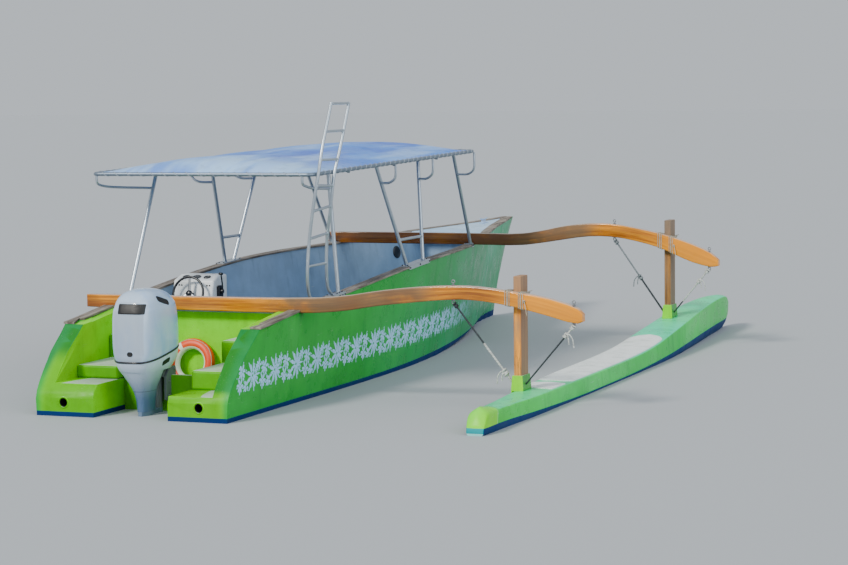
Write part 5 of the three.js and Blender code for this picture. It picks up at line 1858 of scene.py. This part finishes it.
def seam_z(angle):
    """Height of the seam between the covers, which rises towards the bow."""
    z = SEAM_LOW
    for _ in range(4):
        z = SEAM_LOW + SEAM_SLOPE * max(0.0, cover_point(angle, z).x)
    return z


def make_covers():
    turns = [math.tau * (k + 0.5) / COVER_SIDES for k in range(COVER_SIDES)]
    rings = [[cover_point(a, seam_z(a) + 0.004, -0.010) for a in turns]]
    for i in range(COVER_STEPS + 1):
        ring = []
        for a in turns:
            low = seam_z(a) + 0.004
            z = low + (COVER_TOP - low) * (i / COVER_STEPS) ** 0.9
            dip = 0.0035 if z > SHOULDER_Z + 0.03 * math.cos(a) else 0.0
            point = cover_point(a, z, -dip - (0 if i else 0.003))
            if math.cos(a) < 0:
                point.x += panel(-point.y, z)
            ring.append(point)
        rings.append(ring)
    middle = Vector((0.325, 0, COVER_TOP + 0.004))
    rings += [[middle.lerp(p, share) for p in ring] for share in (0.6, 0.05)]
    upper = Shape()
    upper.rings(rings)
    upper.placed("cowl_skin", "engine", "engine_shell", "engine_cowl", body="engine", sharp=50)
    rings = [[cover_point(a, COVER_LOW) for a in turns]]
    for i in range(1, 9):
        inset = -0.003 if i == 8 else 0
        rings.append([cover_point(a, COVER_LOW + (seam_z(a) - COVER_LOW) * i / 8, inset) for a in turns])
    rings.append([cover_point(a, seam_z(a), -0.012) for a in turns])
    lower = Shape()
    lower.rings(rings)
    lower.rings([
        [level_point(a, z, aft, SHROUD_FORE, half, power) for a in turns]
        for z, aft, half, power in SHROUD_ROWS])
    lower.placed("lower_cowl_skin", "pan", "engine_shell", "engine_lower_cowl", body="engine", sharp=50)
    seal = Shape()
    seal.tube([cover_point(a, seam_z(a) + 0.002, -0.003) for a in turns], 0.0105, 8, closed=True)
    seal.placed("cowl_seal", "black", "engine_shell", body="engine", sharp=80)


def decal(shape, surface, centre, size, corner, proud, lean=0.0):
    """A thin panel that follows a curved surface; surface gives a point for two flat coordinates."""
    half_u, half_v = size[0] / 2 - corner, size[1] / 2 - corner
    corners = [
        (su * (half_u + corner * c), sv * (half_v + corner * s)) for su, sv, c, s in rounded_rectangle(8)]
    outline = []
    for one, two in zip(corners, corners[1:] + corners[:1]):
        pieces = max(1, int(math.dist(one, two) / 0.012))
        outline.extend((one[0] + (two[0] - one[0]) * k / pieces, one[1] + (two[1] - one[1]) * k / pieces)
                       for k in range(pieces))

    def place(u, v, lift):
        step = 0.002
        here = surface(u, v)
        out = (surface(u + step, v) - here).cross(surface(u, v + step) - here).normalized()
        return here + out * lift
    levels = ((0.02, proud), (0.35, proud), (0.7, proud), (0.97, proud), (1.0, proud * 0.4), (1.0, -0.004))
    shape.rings([
        [place(centre[0] + u * share, centre[1] + (v + u * lean) * share, lift) for u, v in outline]
        for share, lift in levels])


def make_cowl_details():
    rim = Shape()
    glass = Shape()
    decal(rim, aft_face, (0.031, 1.018), (0.276, 0.108), 0.018, 0.0012)
    decal(glass, aft_face, (0.031, 1.018), (0.262, 0.094), 0.012, 0.0024)
    decal(rim, aft_face, (0.024, 0.604), (0.072, 0.058), 0.0288, 0.0020)
    decal(glass, aft_face, (0.024, 0.604), (0.060, 0.046), 0.0228, 0.0034)
    for side in SIDES:
        decal(glass, side_face(side), (-0.304 * side, 1.076), (0.190, 0.052), 0.025, 0.0022, 0.30 * side)
        decal(glass, side_face(side), (-0.329 * side, 0.508), (0.140, 0.046), 0.0200, 0.0022, -0.22 * side)
    rim.placed("cowl_rims", "engine", "engine_shell", body="engine", sharp=50)
    glass.placed("cowl_vents", "vent", "engine_shell", body="engine", sharp=50)


PROP_X = 0.105
PROP_Z = -0.335
PROP_R = 0.189
BLADE_ROOT = 0.034
BLADE_PITCH = 0.42
BLADE_CHORD = 0.105


def blade_ring(t, turn):
    """A blade's section at a share of its length, wrapped round the hub's axis and turned into place."""
    radius = BLADE_ROOT + (PROP_R - BLADE_ROOT) * t
    swell = 0.55 + 0.75 * math.sin(math.pi * min(1, t * 0.85 + 0.12))
    chord = BLADE_CHORD * swell * (1 - max(0, t - 0.82) * 3.4)
    pitch = math.atan2(BLADE_PITCH, math.tau * radius)
    thick = 0.0075 * (1 - t) + 0.0018
    ring = []
    for angle in angles(20):
        u = chord / 2 * math.cos(angle)
        w = thick * math.sin(angle) + 0.006 * (1 - (2 * u / chord) ** 2) * t
        along = max(-0.070, min(0.028, u * math.sin(pitch) + w * math.cos(pitch) - 0.02))
        bend = (u * math.cos(pitch) - w * math.sin(pitch)) / radius
        point = Vector((PROP_X + along, radius * math.sin(bend), radius * math.cos(bend)))
        ring.append(turn @ point + Z * PROP_Z)
    return ring


def make_propeller():
    shape = Shape()
    profile = [(0.036, -0.0745), (0.038, -0.070), (0.046, 0.0), (0.046, 0.028), (0.040, 0.0295)]
    shape.rings([circle((PROP_X + along, 0, PROP_Z), X, radius, 36) for radius, along in profile])
    for degrees in (0, 120, 240):
        turn = Matrix.Rotation(math.radians(degrees), 4, "X")
        shape.rings([blade_ring(i / 14, turn) for i in range(15)])
    shape.placed(
        "propeller_blades", "propeller", "propeller_metal", "propeller", body="propeller", sharp=50)


make_covers()
make_cowl_details()
make_propeller()
clamp_places = [upright((0.560, side * 0.116, z), Y * side) for side in SIDES for z in (0.160, 0.290)]
copies("clamp_bolts", bolt_shape(0.014), clamp_places, "bolt", "bracket_paint", 30)
